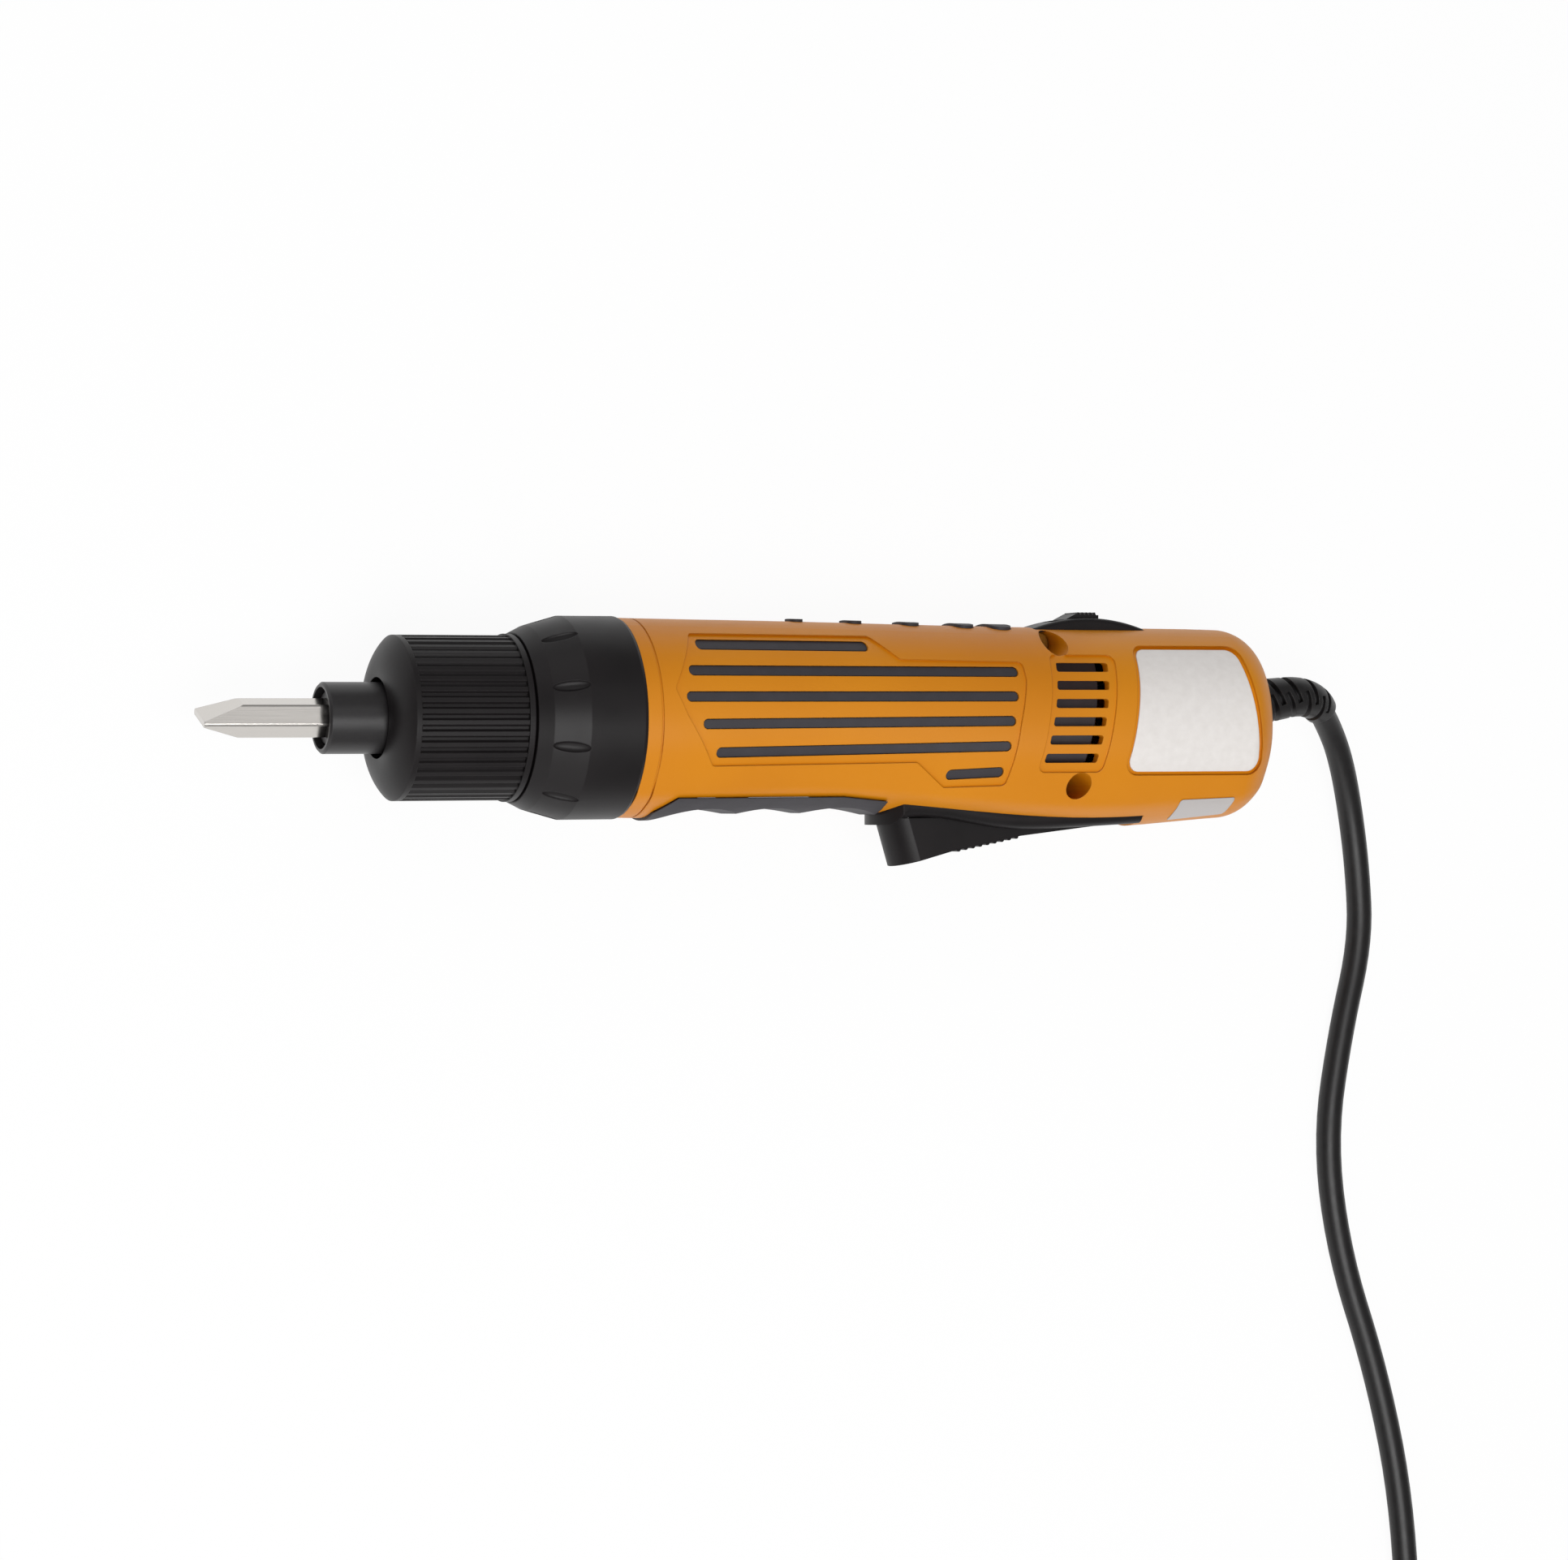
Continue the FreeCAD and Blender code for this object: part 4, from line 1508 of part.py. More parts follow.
def plug_pieces(start):
    """Round plug on the end of the cord, pointing along -X."""
    boot_rear = start.x - FIT
    boot_front = boot_rear - PLUG_BOOT_LENGTH
    boot = turned((
        (boot_front, 0), (boot_front, PLUG_BOOT_END), (boot_rear, CORD_RADIUS + PLUG_BOOT_WALL), (boot_rear, 0)))
    body_front = boot_front - PLUG_LENGTH
    body = turned((
        (body_front, 0), (body_front, PLUG_RADIUS - PLUG_EDGE), (body_front + PLUG_EDGE, PLUG_RADIUS),
        (boot_front - 2 * PLUG_EDGE, PLUG_RADIUS), (boot_front, PLUG_RADIUS - 2 * PLUG_EDGE), (boot_front, 0)))
    grooves = []
    for index in range(PLUG_GROOVES):
        station = body_front + PLUG_GROOVE_FRONT + index * PLUG_GROOVE_PITCH
        grooves.append(ring(PLUG_RADIUS + 1, PLUG_RADIUS - PLUG_GROOVE_DEPTH, station, station + 1))
    seat_rear = body_front + PLUG_SHELL_SEAT
    seat_radius = PLUG_SHELL_RADIUS - PLUG_SHELL_STEP
    shell_inner = PLUG_SHELL_RADIUS - PLUG_SHELL_WALL
    seat = ring(seat_radius, shell_inner, body_front - 1, seat_rear)
    body = body.cut(grooves + [seat])
    shell_front = body_front - PLUG_SHELL_LENGTH
    shell_step = body_front - PLUG_SHELL_LAND
    shell = turned((
        (shell_front, shell_inner), (shell_front, PLUG_SHELL_RADIUS), (shell_step, PLUG_SHELL_RADIUS),
        (shell_step, seat_radius), (seat_rear, seat_radius), (seat_rear, shell_inner)))
    pins = []
    holes = []
    for index in range(PLUG_PINS):
        angle = PLUG_PIN_FIRST + PLUG_PIN_SPREAD * index / (PLUG_PINS - 1)
        pin_rear = body_front + PLUG_PIN_SEAT
        pin = bar(PLUG_PIN_RADIUS, body_front - PLUG_PIN_LENGTH, pin_rear, PLUG_PIN_CIRCLE)
        pins.append(around(pin, angle))
        holes.append(around(bar(PLUG_PIN_RADIUS, body_front - 1, pin_rear, PLUG_PIN_CIRCLE), angle))
    body = body.cut(holes)
    pieces = {"plug_body": body.fuse(boot), "plug_shell": shell, "plug_pins": Part.makeCompound(pins)}
    for shape in pieces.values():
        shape.translate(Vector(0, start.y, start.z))
    return pieces


def main():
    """Build every piece, lay the tool down and write one file for each piece."""
    pieces = {}
    makers = (
        handle_pieces, handle_screws, lever_pieces, direction_switch, screwdriver_bit, spindle_pieces, torque_knob,
        collar_pieces, clutch_pieces, gear_pieces, motor_pieces, tail_pieces, cord_pieces,
    )
    for make in makers:
        pieces.update(make())
    os.makedirs("parts", exist_ok=True)
    for name, shape in pieces.items():
        shape.translate(REST)
        shape.exportStep(os.path.join("parts", name + ".step"))
        print("%-22s %d solids %9.1f mm3 valid %s" % (name, len(shape.Solids), shape.Volume, shape.isValid()))
    print("pieces", len(pieces))


if __name__ == "__main__":
    main()
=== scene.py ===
# %% [markdown]
# An inline electric screwdriver lies on its side on a pale table, with its cord running off to the right.
# The hard pieces come from the CAD frame and already have their real size and place.
# This lesson gives each of them a finish, lays the soft cord, and sets the table, lamps and camera.

# %% Load the frame
import json
import math

import bpy
from mathutils import Matrix, Vector


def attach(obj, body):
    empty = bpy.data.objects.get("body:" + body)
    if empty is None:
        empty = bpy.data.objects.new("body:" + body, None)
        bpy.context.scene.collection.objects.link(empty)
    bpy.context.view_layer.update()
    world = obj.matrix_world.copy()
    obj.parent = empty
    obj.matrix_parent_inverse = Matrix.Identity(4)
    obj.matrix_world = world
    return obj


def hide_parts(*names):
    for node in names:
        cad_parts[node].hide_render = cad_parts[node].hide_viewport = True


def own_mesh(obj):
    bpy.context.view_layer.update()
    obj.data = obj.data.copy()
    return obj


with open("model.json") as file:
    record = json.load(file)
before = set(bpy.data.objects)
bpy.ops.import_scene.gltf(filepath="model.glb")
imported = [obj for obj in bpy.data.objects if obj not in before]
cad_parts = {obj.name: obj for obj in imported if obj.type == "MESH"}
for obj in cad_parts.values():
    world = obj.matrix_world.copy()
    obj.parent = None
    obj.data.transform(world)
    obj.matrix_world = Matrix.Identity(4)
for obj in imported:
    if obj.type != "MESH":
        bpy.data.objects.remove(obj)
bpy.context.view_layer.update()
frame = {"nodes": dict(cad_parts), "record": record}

nodes = frame["nodes"]
MM = 0.001
print("nodes in the frame:", len(nodes))

# %% [markdown]
# The part's source measures along the tool from the seam between collar and handle, with the axis at zero.
# The frame measures from the middle of the tool's outline on the table.
# One shift joins the two, so that sizes below can be written as on the tool itself.

# %% Tool measures to frame
TOOL_SHIFT = Vector((-26.05, 4.0, 18.7))


def on_tool(station, height, rise):
    """Point in metres from a station along the tool, a height towards the switch and a rise from the axis."""
    return (Vector((station, height, rise)) + TOOL_SHIFT) * MM


print("tip of the bit at", [round(v, 4) for v in on_tool(-78.5, 0, 0)])

# %% [markdown]
# A listed colour is an sRGB value, but shaders work in linear light, so one function converts it.
# Another small function adds a node, sets its inputs and joins its links, which keeps each finish readable.
# A moulding has no razor edges, so every finish starts from normals that are rounded by a quarter millimetre.

# %% Colour and node helpers
def linear(code):
    """Linear colour of an sRGB hex value."""
    values = [int(code[i:i + 2], 16) / 255 for i in (1, 3, 5)]
    return [v / 12.92 if v <= 0.04045 else ((v + 0.055) / 1.055) ** 2.4 for v in values] + [1.0]


def add(material, kind, settings=None, **links):
    """New node with its settings; each link gives an input of this node an output of another."""
    node = material.node_tree.nodes.new(kind)
    for name, value in (settings or {}).items():
        if name in node.inputs:
            node.inputs[name].default_value = value
        else:
            setattr(node, name, value)
    for name, output in links.items():
        material.node_tree.links.new(output, node.inputs[name.replace("_", " ")])
    return node


EDGE_ROUND = 0.25 * MM


def start_finish(name, colour, roughness, metallic=0.0):
    """New material: its Principled shader, the object's own coordinates, and normals with softened edges."""
    material = bpy.data.materials.new(name)
    material.use_nodes = True
    shader = material.node_tree.nodes["Principled BSDF"]
    shader.inputs["Base Color"].default_value = linear(colour)
    shader.inputs["Roughness"].default_value = roughness
    shader.inputs["Metallic"].default_value = metallic
    place = add(material, "ShaderNodeTexCoord").outputs["Object"]
    edge = add(material, "ShaderNodeBevel", {"Radius": EDGE_ROUND, "samples": 4}).outputs["Normal"]
    return material, shader, place, edge


def join(material, output, shader, name):
    """Link from an output to an input of the shader."""
    material.node_tree.links.new(output, shader.inputs[name])


def per_metre(size_mm):
    """Noise scale whose features are about as large as a size in millimetres."""
    return 1 / (size_mm * MM)


# %% [markdown]
# The handle is moulded ABS in a warm orange. The mould was spark-eroded, which leaves a fine even grain.
# The grain is really about 0.1 mm; it is drawn at 0.35 mm so that it shows at this distance.
# Slow colour drift and small changes of gloss keep the large faces from looking like flat paint.

# %% Orange ABS
orange_abs, shader, place, edge = start_finish("moulded_orange_abs", "#D28408", 0.42)
shader.inputs["Specular IOR Level"].default_value = 0.35
drift = add(orange_abs, "ShaderNodeTexNoise", {"Scale": per_metre(40), "Detail": 2.0}, Vector=place)
tone = add(orange_abs, "ShaderNodeValToRGB", Fac=drift.outputs["Fac"])
tone.color_ramp.elements[0].position = 0.3
tone.color_ramp.elements[0].color = linear("#CB7B05")
tone.color_ramp.elements[1].position = 0.7
tone.color_ramp.elements[1].color = linear("#D58608")
join(orange_abs, tone.outputs["Color"], shader, "Base Color")
grain = add(orange_abs, "ShaderNodeTexNoise", {"Scale": per_metre(0.35), "Detail": 3.0}, Vector=place)
gloss = add(orange_abs, "ShaderNodeMapRange", {"To Min": 0.38, "To Max": 0.5}, Value=grain.outputs["Fac"])
join(orange_abs, gloss.outputs["Result"], shader, "Roughness")
bump = add(orange_abs, "ShaderNodeBump", {"Strength": 0.12, "Distance": 0.04 * MM},
           Normal=edge, Height=grain.outputs["Fac"])
join(orange_abs, bump.outputs["Normal"], shader, "Normal")
print("made", orange_abs.name)

# %% [markdown]
# Collar, knob, bezel, lever and switch are the same plastic in black, with a slightly softer sheen.
# Black mouldings show finger wear as faint glossy patches, so the roughness varies over a few millimetres.

# %% Black ABS
black_abs, shader, place, edge = start_finish("moulded_black_abs", "#171415", 0.42)
shader.inputs["Specular IOR Level"].default_value = 0.24
patches = add(black_abs, "ShaderNodeTexNoise", {"Scale": per_metre(9), "Detail": 3.0}, Vector=place)
tone = add(black_abs, "ShaderNodeValToRGB", Fac=patches.outputs["Fac"])
tone.color_ramp.elements[0].color = linear("#131112")
tone.color_ramp.elements[1].color = linear("#1B1718")
join(black_abs, tone.outputs["Color"], shader, "Base Color")
gloss = add(black_abs, "ShaderNodeMapRange", {"To Min": 0.34, "To Max": 0.5}, Value=patches.outputs["Fac"])
join(black_abs, gloss.outputs["Result"], shader, "Roughness")
grain = add(black_abs, "ShaderNodeTexNoise", {"Scale": per_metre(0.35), "Detail": 3.0}, Vector=place)
bump = add(black_abs, "ShaderNodeBump", {"Strength": 0.14, "Distance": 0.04 * MM},
           Normal=edge, Height=grain.outputs["Fac"])
join(black_abs, bump.outputs["Normal"], shader, "Normal")
print("made", black_abs.name)

# %% [markdown]
# The strips in the side panels, the nubs and the finger grip are soft overmoulded rubber.
# It is duller and greyer than the hard plastic, with a dusty bloom in its colour.

# %% Overmoulded rubber
soft_rubber, shader, place, edge = start_finish("overmoulded_rubber", "#312E33", 0.62)
bloom = add(soft_rubber, "ShaderNodeTexNoise", {"Scale": per_metre(3), "Detail": 4.0}, Vector=place)
tone = add(soft_rubber, "ShaderNodeValToRGB", Fac=bloom.outputs["Fac"])
tone.color_ramp.elements[0].color = linear("#2B282C")
tone.color_ramp.elements[1].color = linear("#37343A")
join(soft_rubber, tone.outputs["Color"], shader, "Base Color")
grain = add(soft_rubber, "ShaderNodeTexNoise", {"Scale": per_metre(0.3), "Detail": 2.0}, Vector=place)
bump = add(soft_rubber, "ShaderNodeBump", {"Strength": 0.2, "Distance": 0.04 * MM},
           Normal=edge, Height=grain.outputs["Fac"])
join(soft_rubber, bump.outputs["Normal"], shader, "Normal")
print("made", soft_rubber.name)

# %% [markdown]
# Cord, strain relief and plug are soft PVC: darker than the grip and smoother, with a broad sheen.
# Extrusion leaves faint streaks, drawn here as a stretched noise.

# %% Cord PVC
cord_pvc, shader, place, edge = start_finish("extruded_black_pvc", "#171616", 0.4)
shader.inputs["Specular IOR Level"].default_value = 0.4
streak = add(cord_pvc, "ShaderNodeTexNoise", {"Scale": per_metre(2), "Detail": 3.0}, Vector=place)
gloss = add(cord_pvc, "ShaderNodeMapRange", {"To Min": 0.33, "To Max": 0.48}, Value=streak.outputs["Fac"])
join(cord_pvc, gloss.outputs["Result"], shader, "Roughness")
tone = add(cord_pvc, "ShaderNodeValToRGB", Fac=streak.outputs["Fac"])
tone.color_ramp.elements[0].color = linear("#131212")
tone.color_ramp.elements[1].color = linear("#1B191A")
join(cord_pvc, tone.outputs["Color"], shader, "Base Color")
bump = add(cord_pvc, "ShaderNodeBump", {"Strength": 0.1, "Distance": 0.05 * MM},
           Normal=edge, Height=streak.outputs["Fac"])
join(cord_pvc, bump.outputs["Normal"], shader, "Normal")
print("made", cord_pvc.name)

# %% [markdown]
# Two labels share one piece of the frame: a large off-white film and a small silvery one lower down.
# Both are left bare. The height across the handle tells them apart, so one finish can colour both.
# The mix node keeps its colour inputs behind those for numbers and vectors, so they are taken by index.

# %% Label film
LABELS_PART_AT = -14.5
MIX_FACTOR = 0
MIX_FIRST = 6
MIX_SECOND = 7
MIX_RESULT = 2
label_film, shader, place, edge = start_finish("printed_label_film", "#E4E0DC", 0.36)
split = add(label_film, "ShaderNodeSeparateXYZ", Vector=place)
lower = add(label_film, "ShaderNodeMath", {"operation": "LESS_THAN"})
lower.inputs[1].default_value = on_tool(0, LABELS_PART_AT, 0).y
label_film.node_tree.links.new(split.outputs["Y"], lower.inputs[0])
fibre = add(label_film, "ShaderNodeTexNoise", {"Scale": per_metre(1.5), "Detail": 4.0}, Vector=place)
tone = add(label_film, "ShaderNodeValToRGB", Fac=fibre.outputs["Fac"])
tone.color_ramp.elements[0].color = linear("#DDD8D4")
tone.color_ramp.elements[1].color = linear("#EBE7E4")
both = add(label_film, "ShaderNodeMix", {"data_type": "RGBA"})
both.inputs[MIX_SECOND].default_value = linear("#B9B4B2")
label_film.node_tree.links.new(lower.outputs["Value"], both.inputs[MIX_FACTOR])
label_film.node_tree.links.new(tone.outputs["Color"], both.inputs[MIX_FIRST])
join(label_film, both.outputs[MIX_RESULT], shader, "Base Color")
join(label_film, edge, shader, "Normal")
print("made", label_film.name)

# %% [markdown]
# The bit is ground steel with bright nickel on it. Grinding runs along the shank, so the fine lines are
# drawn as noise stretched along X: 0.25 mm apart across and 12 mm long.

# %% Ground nickel steel
LINE_PITCH = 0.25
LINE_LENGTH = 12.0
bright_steel, shader, place, edge = start_finish("ground_nickel_steel", "#D2CEC9", 0.22, 1.0)
stretch = add(bright_steel, "ShaderNodeMapping", {"Scale": (LINE_PITCH / LINE_LENGTH, 1.0, 1.0)},
              Vector=place)
lines = add(bright_steel, "ShaderNodeTexNoise", {"Scale": per_metre(LINE_PITCH), "Detail": 3.0},
            Vector=stretch.outputs["Vector"])
gloss = add(bright_steel, "ShaderNodeMapRange", {"To Min": 0.16, "To Max": 0.3}, Value=lines.outputs["Fac"])
join(bright_steel, gloss.outputs["Result"], shader, "Roughness")
bump = add(bright_steel, "ShaderNodeBump", {"Strength": 0.08, "Distance": 0.03 * MM},
           Normal=edge, Height=lines.outputs["Fac"])
join(bright_steel, bump.outputs["Normal"], shader, "Normal")
print("made", bright_steel.name)

# %% [markdown]
# The remaining metals sit inside the tool and show through a vent or when the part is taken apart.
# Each is a metal with its own colour and a tool-mark texture of about half a millimetre.

# %% Inner metals
def inner_metal(name, colour, dark, roughness):
    """Metal with a blotchy tone and fine tool marks."""
    material, shader, place, edge = start_finish(name, colour, roughness, 1.0)
    blotch = add(material, "ShaderNodeTexNoise", {"Scale": per_metre(2.5), "Detail": 4.0}, Vector=place)
    tone = add(material, "ShaderNodeValToRGB", Fac=blotch.outputs["Fac"])
    tone.color_ramp.elements[0].color = linear(dark)
    tone.color_ramp.elements[1].color = linear(colour)
    join(material, tone.outputs["Color"], shader, "Base Color")
    marks = add(material, "ShaderNodeTexNoise", {"Scale": per_metre(0.5), "Detail": 2.0}, Vector=place)
    bump = add(material, "ShaderNodeBump", {"Strength": 0.1, "Distance": 0.03 * MM},
               Normal=edge, Height=marks.outputs["Fac"])
    join(material, bump.outputs["Normal"], shader, "Normal")
    print("made", name)
    return material


turned_steel = inner_metal("turned_steel", "#A9A7A6", "#8F8D8C", 0.34)
passivated_steel = inner_metal("yellow_passivated_steel", "#9A6E2C", "#7C5520", 0.45)
zinc_steel = inner_metal("zinc_plated_steel", "#A8ACAF", "#8E9296", 0.42)
bearing_bronze = inner_metal("sintered_bronze", "#B08A4E", "#8F6D3A", 0.48)
copper_wire = inner_metal("enamelled_copper", "#B8683A", "#8C4725", 0.32)
silicon_steel = inner_metal("laminated_silicon_steel", "#7C7C80", "#5F5F64", 0.45)
brass_pin = inner_metal("plated_brass", "#CDB167", "#B2954D", 0.3)

# %% [markdown]
# Ferrite, carbon and the circuit board are dull and not metallic. The quick-change sleeve is steel with a
# black oxide coat, which keeps a soft metal sheen under a nearly black skin.

# %% Dull inner finishes and black oxide
def dull(name, colour, dark, roughness, grain_mm):
    """Matt finish with a grainy tone."""
    material, shader, place, edge = start_finish(name, colour, roughness)
    grain = add(material, "ShaderNodeTexNoise", {"Scale": per_metre(grain_mm), "Detail": 4.0}, Vector=place)
    tone = add(material, "ShaderNodeValToRGB", Fac=grain.outputs["Fac"])
    tone.color_ramp.elements[0].color = linear(dark)
    tone.color_ramp.elements[1].color = linear(colour)
    join(material, tone.outputs["Color"], shader, "Base Color")
    bump = add(material, "ShaderNodeBump", {"Strength": 0.15, "Distance": 0.05 * MM},
               Normal=edge, Height=grain.outputs["Fac"])
    join(material, bump.outputs["Normal"], shader, "Normal")
    print("made", name)
    return material


ferrite = dull("sintered_ferrite", "#37363A", "#2B2A2D", 0.7, 0.6)
carbon = dull("pressed_carbon", "#2A2929", "#1E1D1D", 0.6, 0.4)
board = dull("glass_epoxy_board", "#1F6B45", "#185537", 0.4, 0.8)
white_nylon = dull("moulded_nylon", "#DCD8CF", "#CFCABF", 0.5, 1.0)
black_oxide = dull("black_oxide_steel", "#232122", "#191718", 0.36, 0.7)

# %% [markdown]
# Every piece of the frame now takes its finish by name.

# %% Dress the frame
FINISHES = {
    "left_handle_half": orange_abs, "right_handle_half": orange_abs,
    "rubber_inlays": soft_rubber, "finger_grip": soft_rubber, "labels": label_film,
    "handle_screws": passivated_steel, "lever_bezel": black_abs, "start_lever": black_abs,
    "lever_pin": turned_steel, "lever_spring": turned_steel, "start_switch": black_abs,
    "start_switch_plunger": white_nylon,
    "direction_switch_base": black_abs, "direction_slider": black_abs, "direction_switch": black_abs,
    "screwdriver_bit": bright_steel, "spindle": black_oxide, "quick_change_sleeve": black_oxide,
    "sleeve_clip": black_oxide, "detent_balls": bright_steel, "sleeve_spring": turned_steel,
    "torque_knob": black_abs, "knob_keeper_ring": turned_steel, "front_collar": black_abs,
    "front_bush": bearing_bronze, "pressure_nut": turned_steel, "spring_seat": turned_steel,
    "clutch_spring": turned_steel, "clutch_plate": turned_steel, "clutch_balls": bright_steel,
    "output_carrier": turned_steel, "ring_gear": turned_steel, "middle_carrier": turned_steel,
    "output_planet_1": turned_steel, "output_planet_2": turned_steel, "output_planet_3": turned_steel,
    "input_planet_1": turned_steel, "input_planet_2": turned_steel, "input_planet_3": turned_steel,
    "motor_pinion": turned_steel, "motor_can": zinc_steel, "motor_magnets": ferrite,
    "rotor_shaft": turned_steel, "rotor_core": silicon_steel, "rotor_winding": copper_wire,
    "commutator": copper_wire, "motor_brushes": carbon, "motor_end_cap": black_abs,
    "motor_bearings": bearing_bronze, "cooling_fan": black_abs, "control_board": board,
    "cord_clamp": black_abs, "inner_leads": cord_pvc, "strain_relief": cord_pvc, "cord_lead": cord_pvc,
    "cord_coil": cord_pvc, "cord_tie": black_abs, "plug_body": cord_pvc, "plug_shell": zinc_steel,
    "plug_pins": brass_pin,
}
for name, finish in FINISHES.items():
    mesh = nodes[name].data
    mesh.materials.clear()
    mesh.materials.append(finish)
print("dressed", len(FINISHES), "of", len(nodes))

# %% [markdown]
# Three coil springs shorten when what they press on moves. A stiff coil would come through the pressed lever,
# so the table gives each the joint that presses it, its axis, its fixed end in metres in the frame and the
# share it keeps.
# A copy of each, on the body that carries it, stands in for the stiff one, which is hidden. The clutch spring
# follows the feed of the nut, which moves it most.

# %% Springs that shorten
ALONG_TOOL = (1, 0, 0)
TOWARDS_SWITCH = (0, 1, 0)
SPRINGS = {
    "lever_spring": {
        "joint": "lever_press", "axis": TOWARDS_SWITCH, "fixed_end": (0, -0.0116, 0), "keep": 0.57},
    "sleeve_spring": {
        "joint": "sleeve_slide", "axis": ALONG_TOOL, "fixed_end": (-0.07055, 0, 0), "keep": 0.47},
    "clutch_spring": {
        "joint": "nut_feed", "axis": ALONG_TOOL, "fixed_end": (-0.03965, 0, 0), "keep": 0.64},
}
bodies = frame["record"]["behaviour"]["bodies"]
for name, spring in SPRINGS.items():
    coil = bpy.data.objects.new(name + "_coil", nodes[name].data.copy())
    bpy.context.scene.collection.objects.link(coil)
    for body, members in bodies.items():
        if name in members:
            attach(coil, body)
    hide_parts(name)
    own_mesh(coil)
print("springs that shorten:", len(SPRINGS))

# %% [markdown]
# The cord is a fixed length of soft wire. Its route leaves the strain relief, drops to the table, wanders
# down the picture and ends in a put-away coil just outside the view, tied and plugged.
# A NURBS curve takes the same points as the part's source, so the line is smooth and lies where the solids
# lie. Sizes are in millimetres on the tool, apart from the length, which is in metres.

# %% Route of the cord
RELIEF_END = (149.26, 1.62, -3.26)
ROUTE = [
    RELIEF_END, (153.09, -1.49, -6.67), (157.6, -7.6, -10.3), (161.6, -16.6, -14.0), (164.6, -30.0, -16.1),
    (165.3, -44.5, -16.2), (160.6, -62.5, -16.2), (156.9, -84.0, -16.2), (160.0, -107.0, -16.2),
    (168.0, -130.0, -16.2), (173.6, -156.0, -15.8), (174.91, -185.0, -15.3),
]
CORD_RADIUS = 2.5
COIL_TURNS = 6.25
COIL_RADIUS = 37.8
COIL_STEP = 5.6
COIL_LAYER = 5.6
COIL_STATION = 136.4
COIL_DEPTH = 215.0
COIL_FLOOR = -15.3
COIL_TAIL = 36.0
POINTS_PER_TURN = 16
REVERSE_HALF = 0.25


def coil_point(turn):
    """Point of the coil: spiral in on the table, climb one layer where it turns back, spiral out on top."""
    middle = COIL_TURNS / 2
    away = abs(turn - middle)
    inner = COIL_RADIUS - COIL_STEP * middle
    radius = inner + COIL_STEP * away
    if away < REVERSE_HALF:
        radius = inner + COIL_STEP * (away * away / (2 * REVERSE_HALF) + REVERSE_HALF / 2)
    radius /= math.cos(math.pi / POINTS_PER_TURN)
    climb = min(max((turn - middle) * 2 + 0.5, 0.0), 1.0)
    rise = COIL_FLOOR + COIL_LAYER * climb * climb * (3 - 2 * climb)
    angle = -2 * math.pi * turn
    return (COIL_STATION + radius * math.cos(angle), -COIL_DEPTH + radius * math.sin(angle), rise)


coil_points = [coil_point(i / POINTS_PER_TURN) for i in range(round(COIL_TURNS * POINTS_PER_TURN) + 1)]
last = coil_points[-1]
end_point = (last[0] - COIL_TAIL, last[1], last[2])
route = [on_tool(*point) for point in ROUTE + coil_points + [end_point]]
print("points on the cord:", len(route))

# %% Cord
curve = bpy.data.curves.new("cord", "CURVE")
curve.dimensions = "3D"
spline = curve.splines.new("NURBS")
spline.points.add(len(route) - 1)
for point, place in zip(spline.points, route):
    point.co = (*place, 1.0)
spline.order_u = 3
spline.use_endpoint_u = True
spline.resolution_u = 6
curve.bevel_depth = CORD_RADIUS * MM
curve.bevel_resolution = 5
curve.use_fill_caps = True
curve.materials.append(cord_pvc)
cord = bpy.data.objects.new("cord", curve)
bpy.context.scene.collection.objects.link(cord)
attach(cord, "housing")
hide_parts("cord_lead", "cord_coil")

# %% [markdown]
# The photograph has a plain white ground, so the table is a pale sheet far larger than the tool.
# To the camera and to mirror-like pieces it glows almost white, and it still takes the tool's soft shadow.

# %% Table
TABLE_SIZE = 6.0
TABLE_DROP = 0.2 * MM
TABLE_GLOW = 0.94
bpy.ops.object.select_all(action="DESELECT")
bpy.ops.mesh.primitive_plane_add(size=TABLE_SIZE, location=(0, 0, -TABLE_DROP))
table = bpy.context.object
table.name = "table"
pale_sheet, shader, place, edge = start_finish("pale_table_sheet", "#F4F4F4", 0.9)
path_kind = add(pale_sheet, "ShaderNodeLightPath")
seen = path_kind.outputs["Is Camera Ray"]
for ray in ("Is Glossy Ray", "Is Transmission Ray"):
    either = add(pale_sheet, "ShaderNodeMath", {"operation": "MAXIMUM"})
    pale_sheet.node_tree.links.new(seen, either.inputs[0])
    pale_sheet.node_tree.links.new(path_kind.outputs[ray], either.inputs[1])
    seen = either.outputs["Value"]
share = add(pale_sheet, "ShaderNodeMath", {"operation": "MULTIPLY"})
share.inputs[1].default_value = TABLE_GLOW
pale_sheet.node_tree.links.new(seen, share.inputs[0])
glow = add(pale_sheet, "ShaderNodeEmission", {"Color": (1, 1, 1, 1), "Strength": 1.0})
mixed = add(pale_sheet, "ShaderNodeMixShader", Fac=share.outputs["Value"])
pale_sheet.node_tree.links.new(shader.outputs["BSDF"], mixed.inputs[1])
pale_sheet.node_tree.links.new(glow.outputs["Emission"], mixed.inputs[2])
output = pale_sheet.node_tree.nodes["Material Output"]
pale_sheet.node_tree.links.new(mixed.outputs["Shader"], output.inputs["Surface"])
table.data.materials.append(pale_sheet)

# %% [markdown]
# The light is that of a product table: a soft box beside the camera lights the face, and two wide ones above
# and below the tool draw the soft bands on the black knob and collar. A small weak one hangs where the bit's
# upper flat mirrors it into the camera. A pale room fills the shadows.
# Places and sizes are in metres in the frame, and powers in watts.

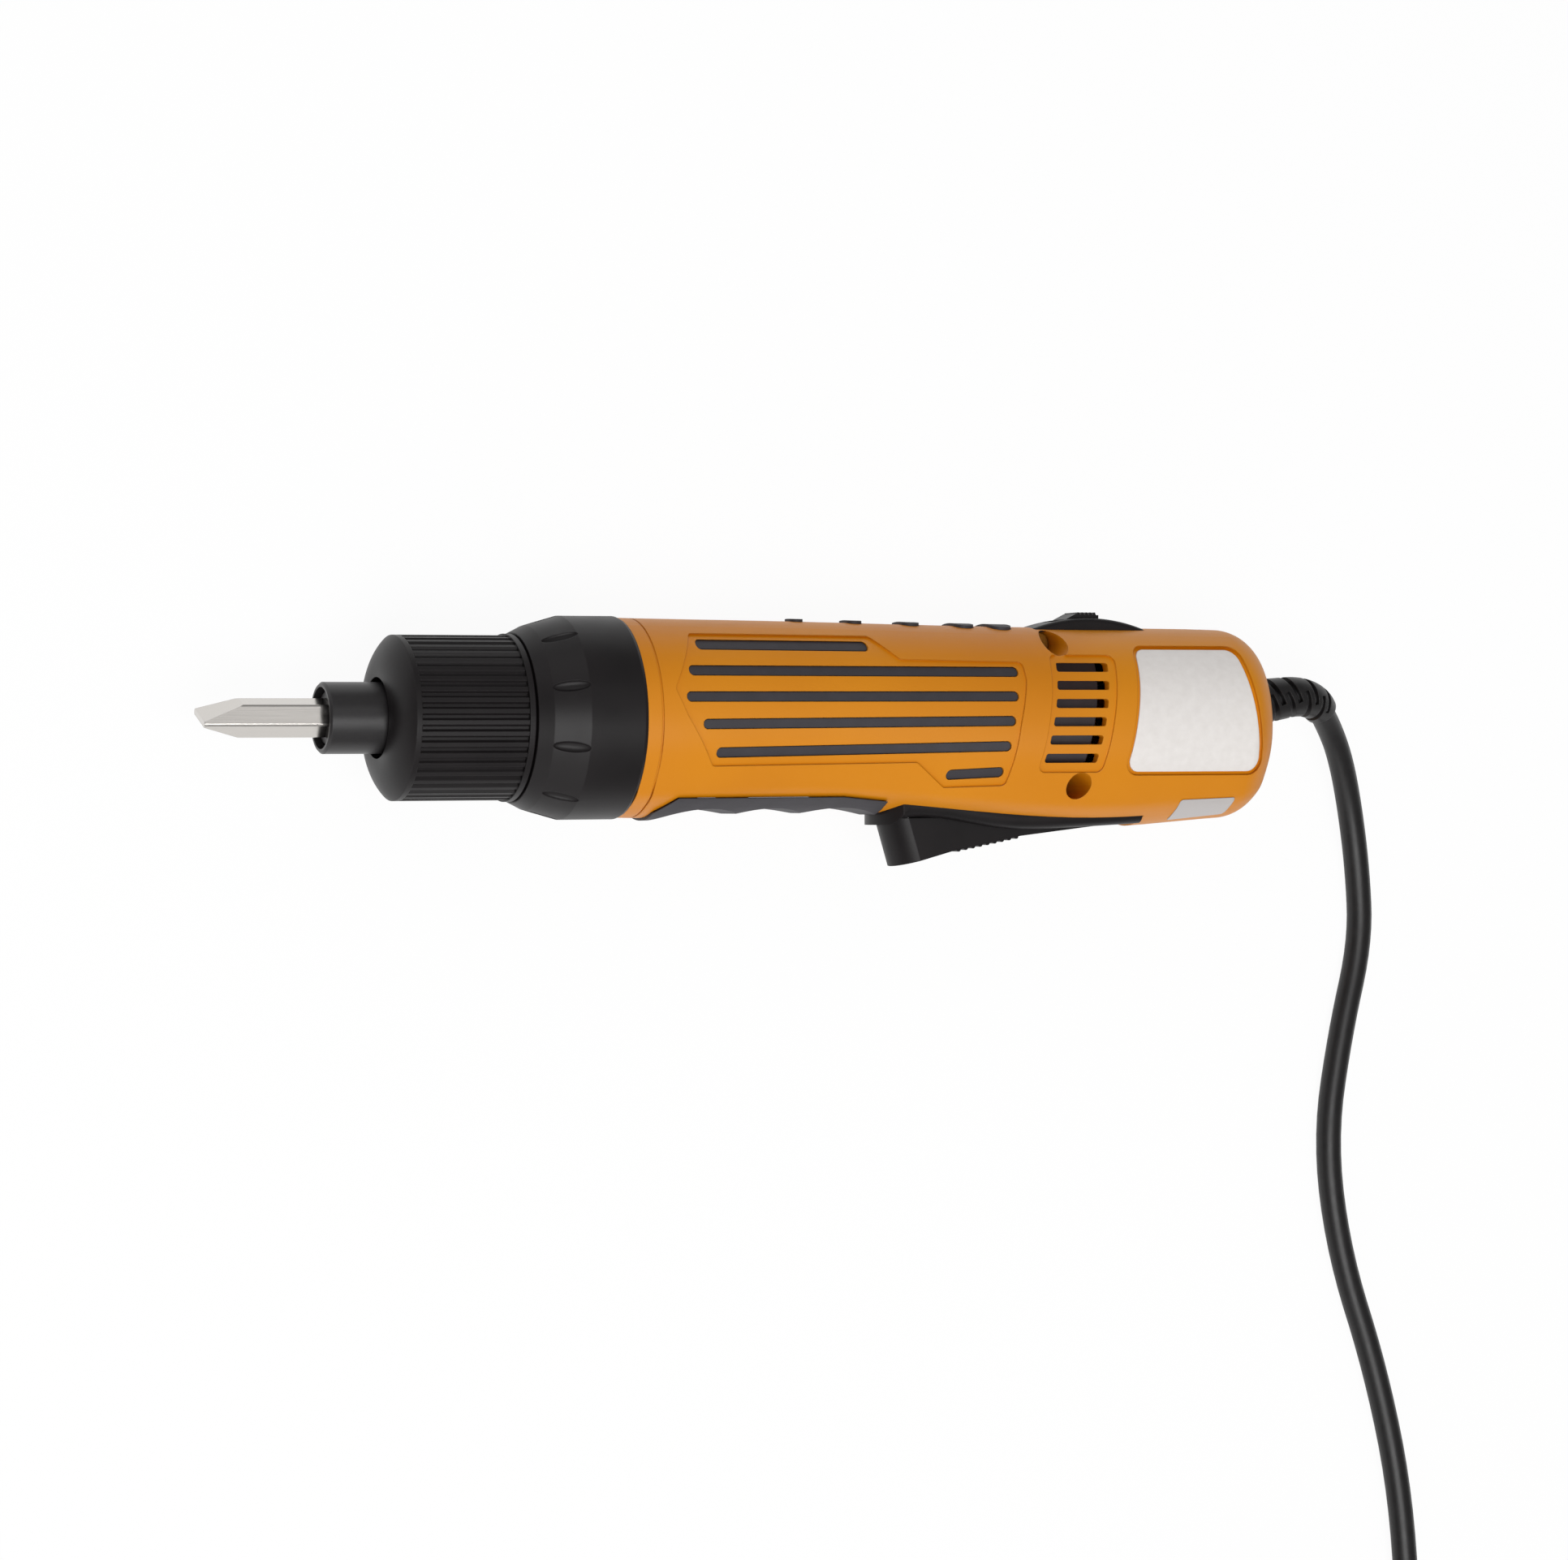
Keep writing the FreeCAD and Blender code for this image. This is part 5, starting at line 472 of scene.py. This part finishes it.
# %% Lamps and room
LAMP_TARGET = Vector((0, 0, 0.02))
LAMPS = {
    "key_box": {"place": (-0.15, -0.3, 1.0), "size": 0.7, "power": 8.2},
    "lower_box": {"place": (-0.25, -0.9, 0.45), "size": 0.7, "power": 2.0},
    "upper_box": {"place": (-0.25, 0.85, 0.5), "size": 0.6, "power": 1.2},
    "bit_box": {"place": (0.23, 0.47, 1.0), "size": 0.4, "power": 0.42},
}
ROOM_GLOW = 0.26


def soft_box(name, place, size, power):
    """Square area lamp that faces the tool."""
    data = bpy.data.lights.new(name, "AREA")
    data.shape = "SQUARE"
    data.size = size
    data.energy = power
    lamp = bpy.data.objects.new(name, data)
    lamp.location = place
    lamp.rotation_mode = "QUATERNION"
    lamp.rotation_quaternion = (LAMP_TARGET - Vector(place)).to_track_quat("-Z", "Y")
    bpy.context.scene.collection.objects.link(lamp)


for name, lamp in LAMPS.items():
    soft_box(name, lamp["place"], lamp["size"], lamp["power"])
room = bpy.data.worlds.new("pale_room")
bpy.context.scene.world = room
room.use_nodes = True
room.node_tree.nodes["Background"].inputs["Color"].default_value = (1, 1, 1, 1)
room.node_tree.nodes["Background"].inputs["Strength"].default_value = ROOM_GLOW
bpy.context.scene.view_settings.view_transform = "Standard"

# %% [markdown]
# The camera stands above the tool, off towards the tip, and looks down its side with a slight roll.
# Its distance and lens were fitted to the bit's shank and the long handle, so the perspective agrees.
# Its place is in millimetres on the tool.

# %% Camera
IMAGE_WIDTH = 1932
FOCAL_PIXELS = 6000
VIEW_TURN = math.radians(22.5)
VIEW_ROLL = math.radians(-0.35)
VIEW_PLACE = (-313.9, -11.65, 839.8)
camera_data = bpy.data.cameras.new("photo_camera")
camera_data.sensor_width = 36.0
camera_data.lens = camera_data.sensor_width * FOCAL_PIXELS / IMAGE_WIDTH
camera_data.clip_start = 0.01
camera_data.clip_end = 20.0
camera = bpy.data.objects.new("photo_camera", camera_data)
bpy.context.scene.collection.objects.link(camera)
right = Vector((math.cos(VIEW_TURN), 0, math.sin(VIEW_TURN)))
up = Vector((0, 1, 0))
back = Vector((-math.sin(VIEW_TURN), 0, math.cos(VIEW_TURN)))
turn = Matrix((right, up, back)).transposed() @ Matrix.Rotation(VIEW_ROLL, 3, "Z")
camera.matrix_world = Matrix.Translation(on_tool(*VIEW_PLACE)) @ turn.to_4x4()
bpy.context.scene.camera = camera
print("lens", round(camera_data.lens, 1), "mm")
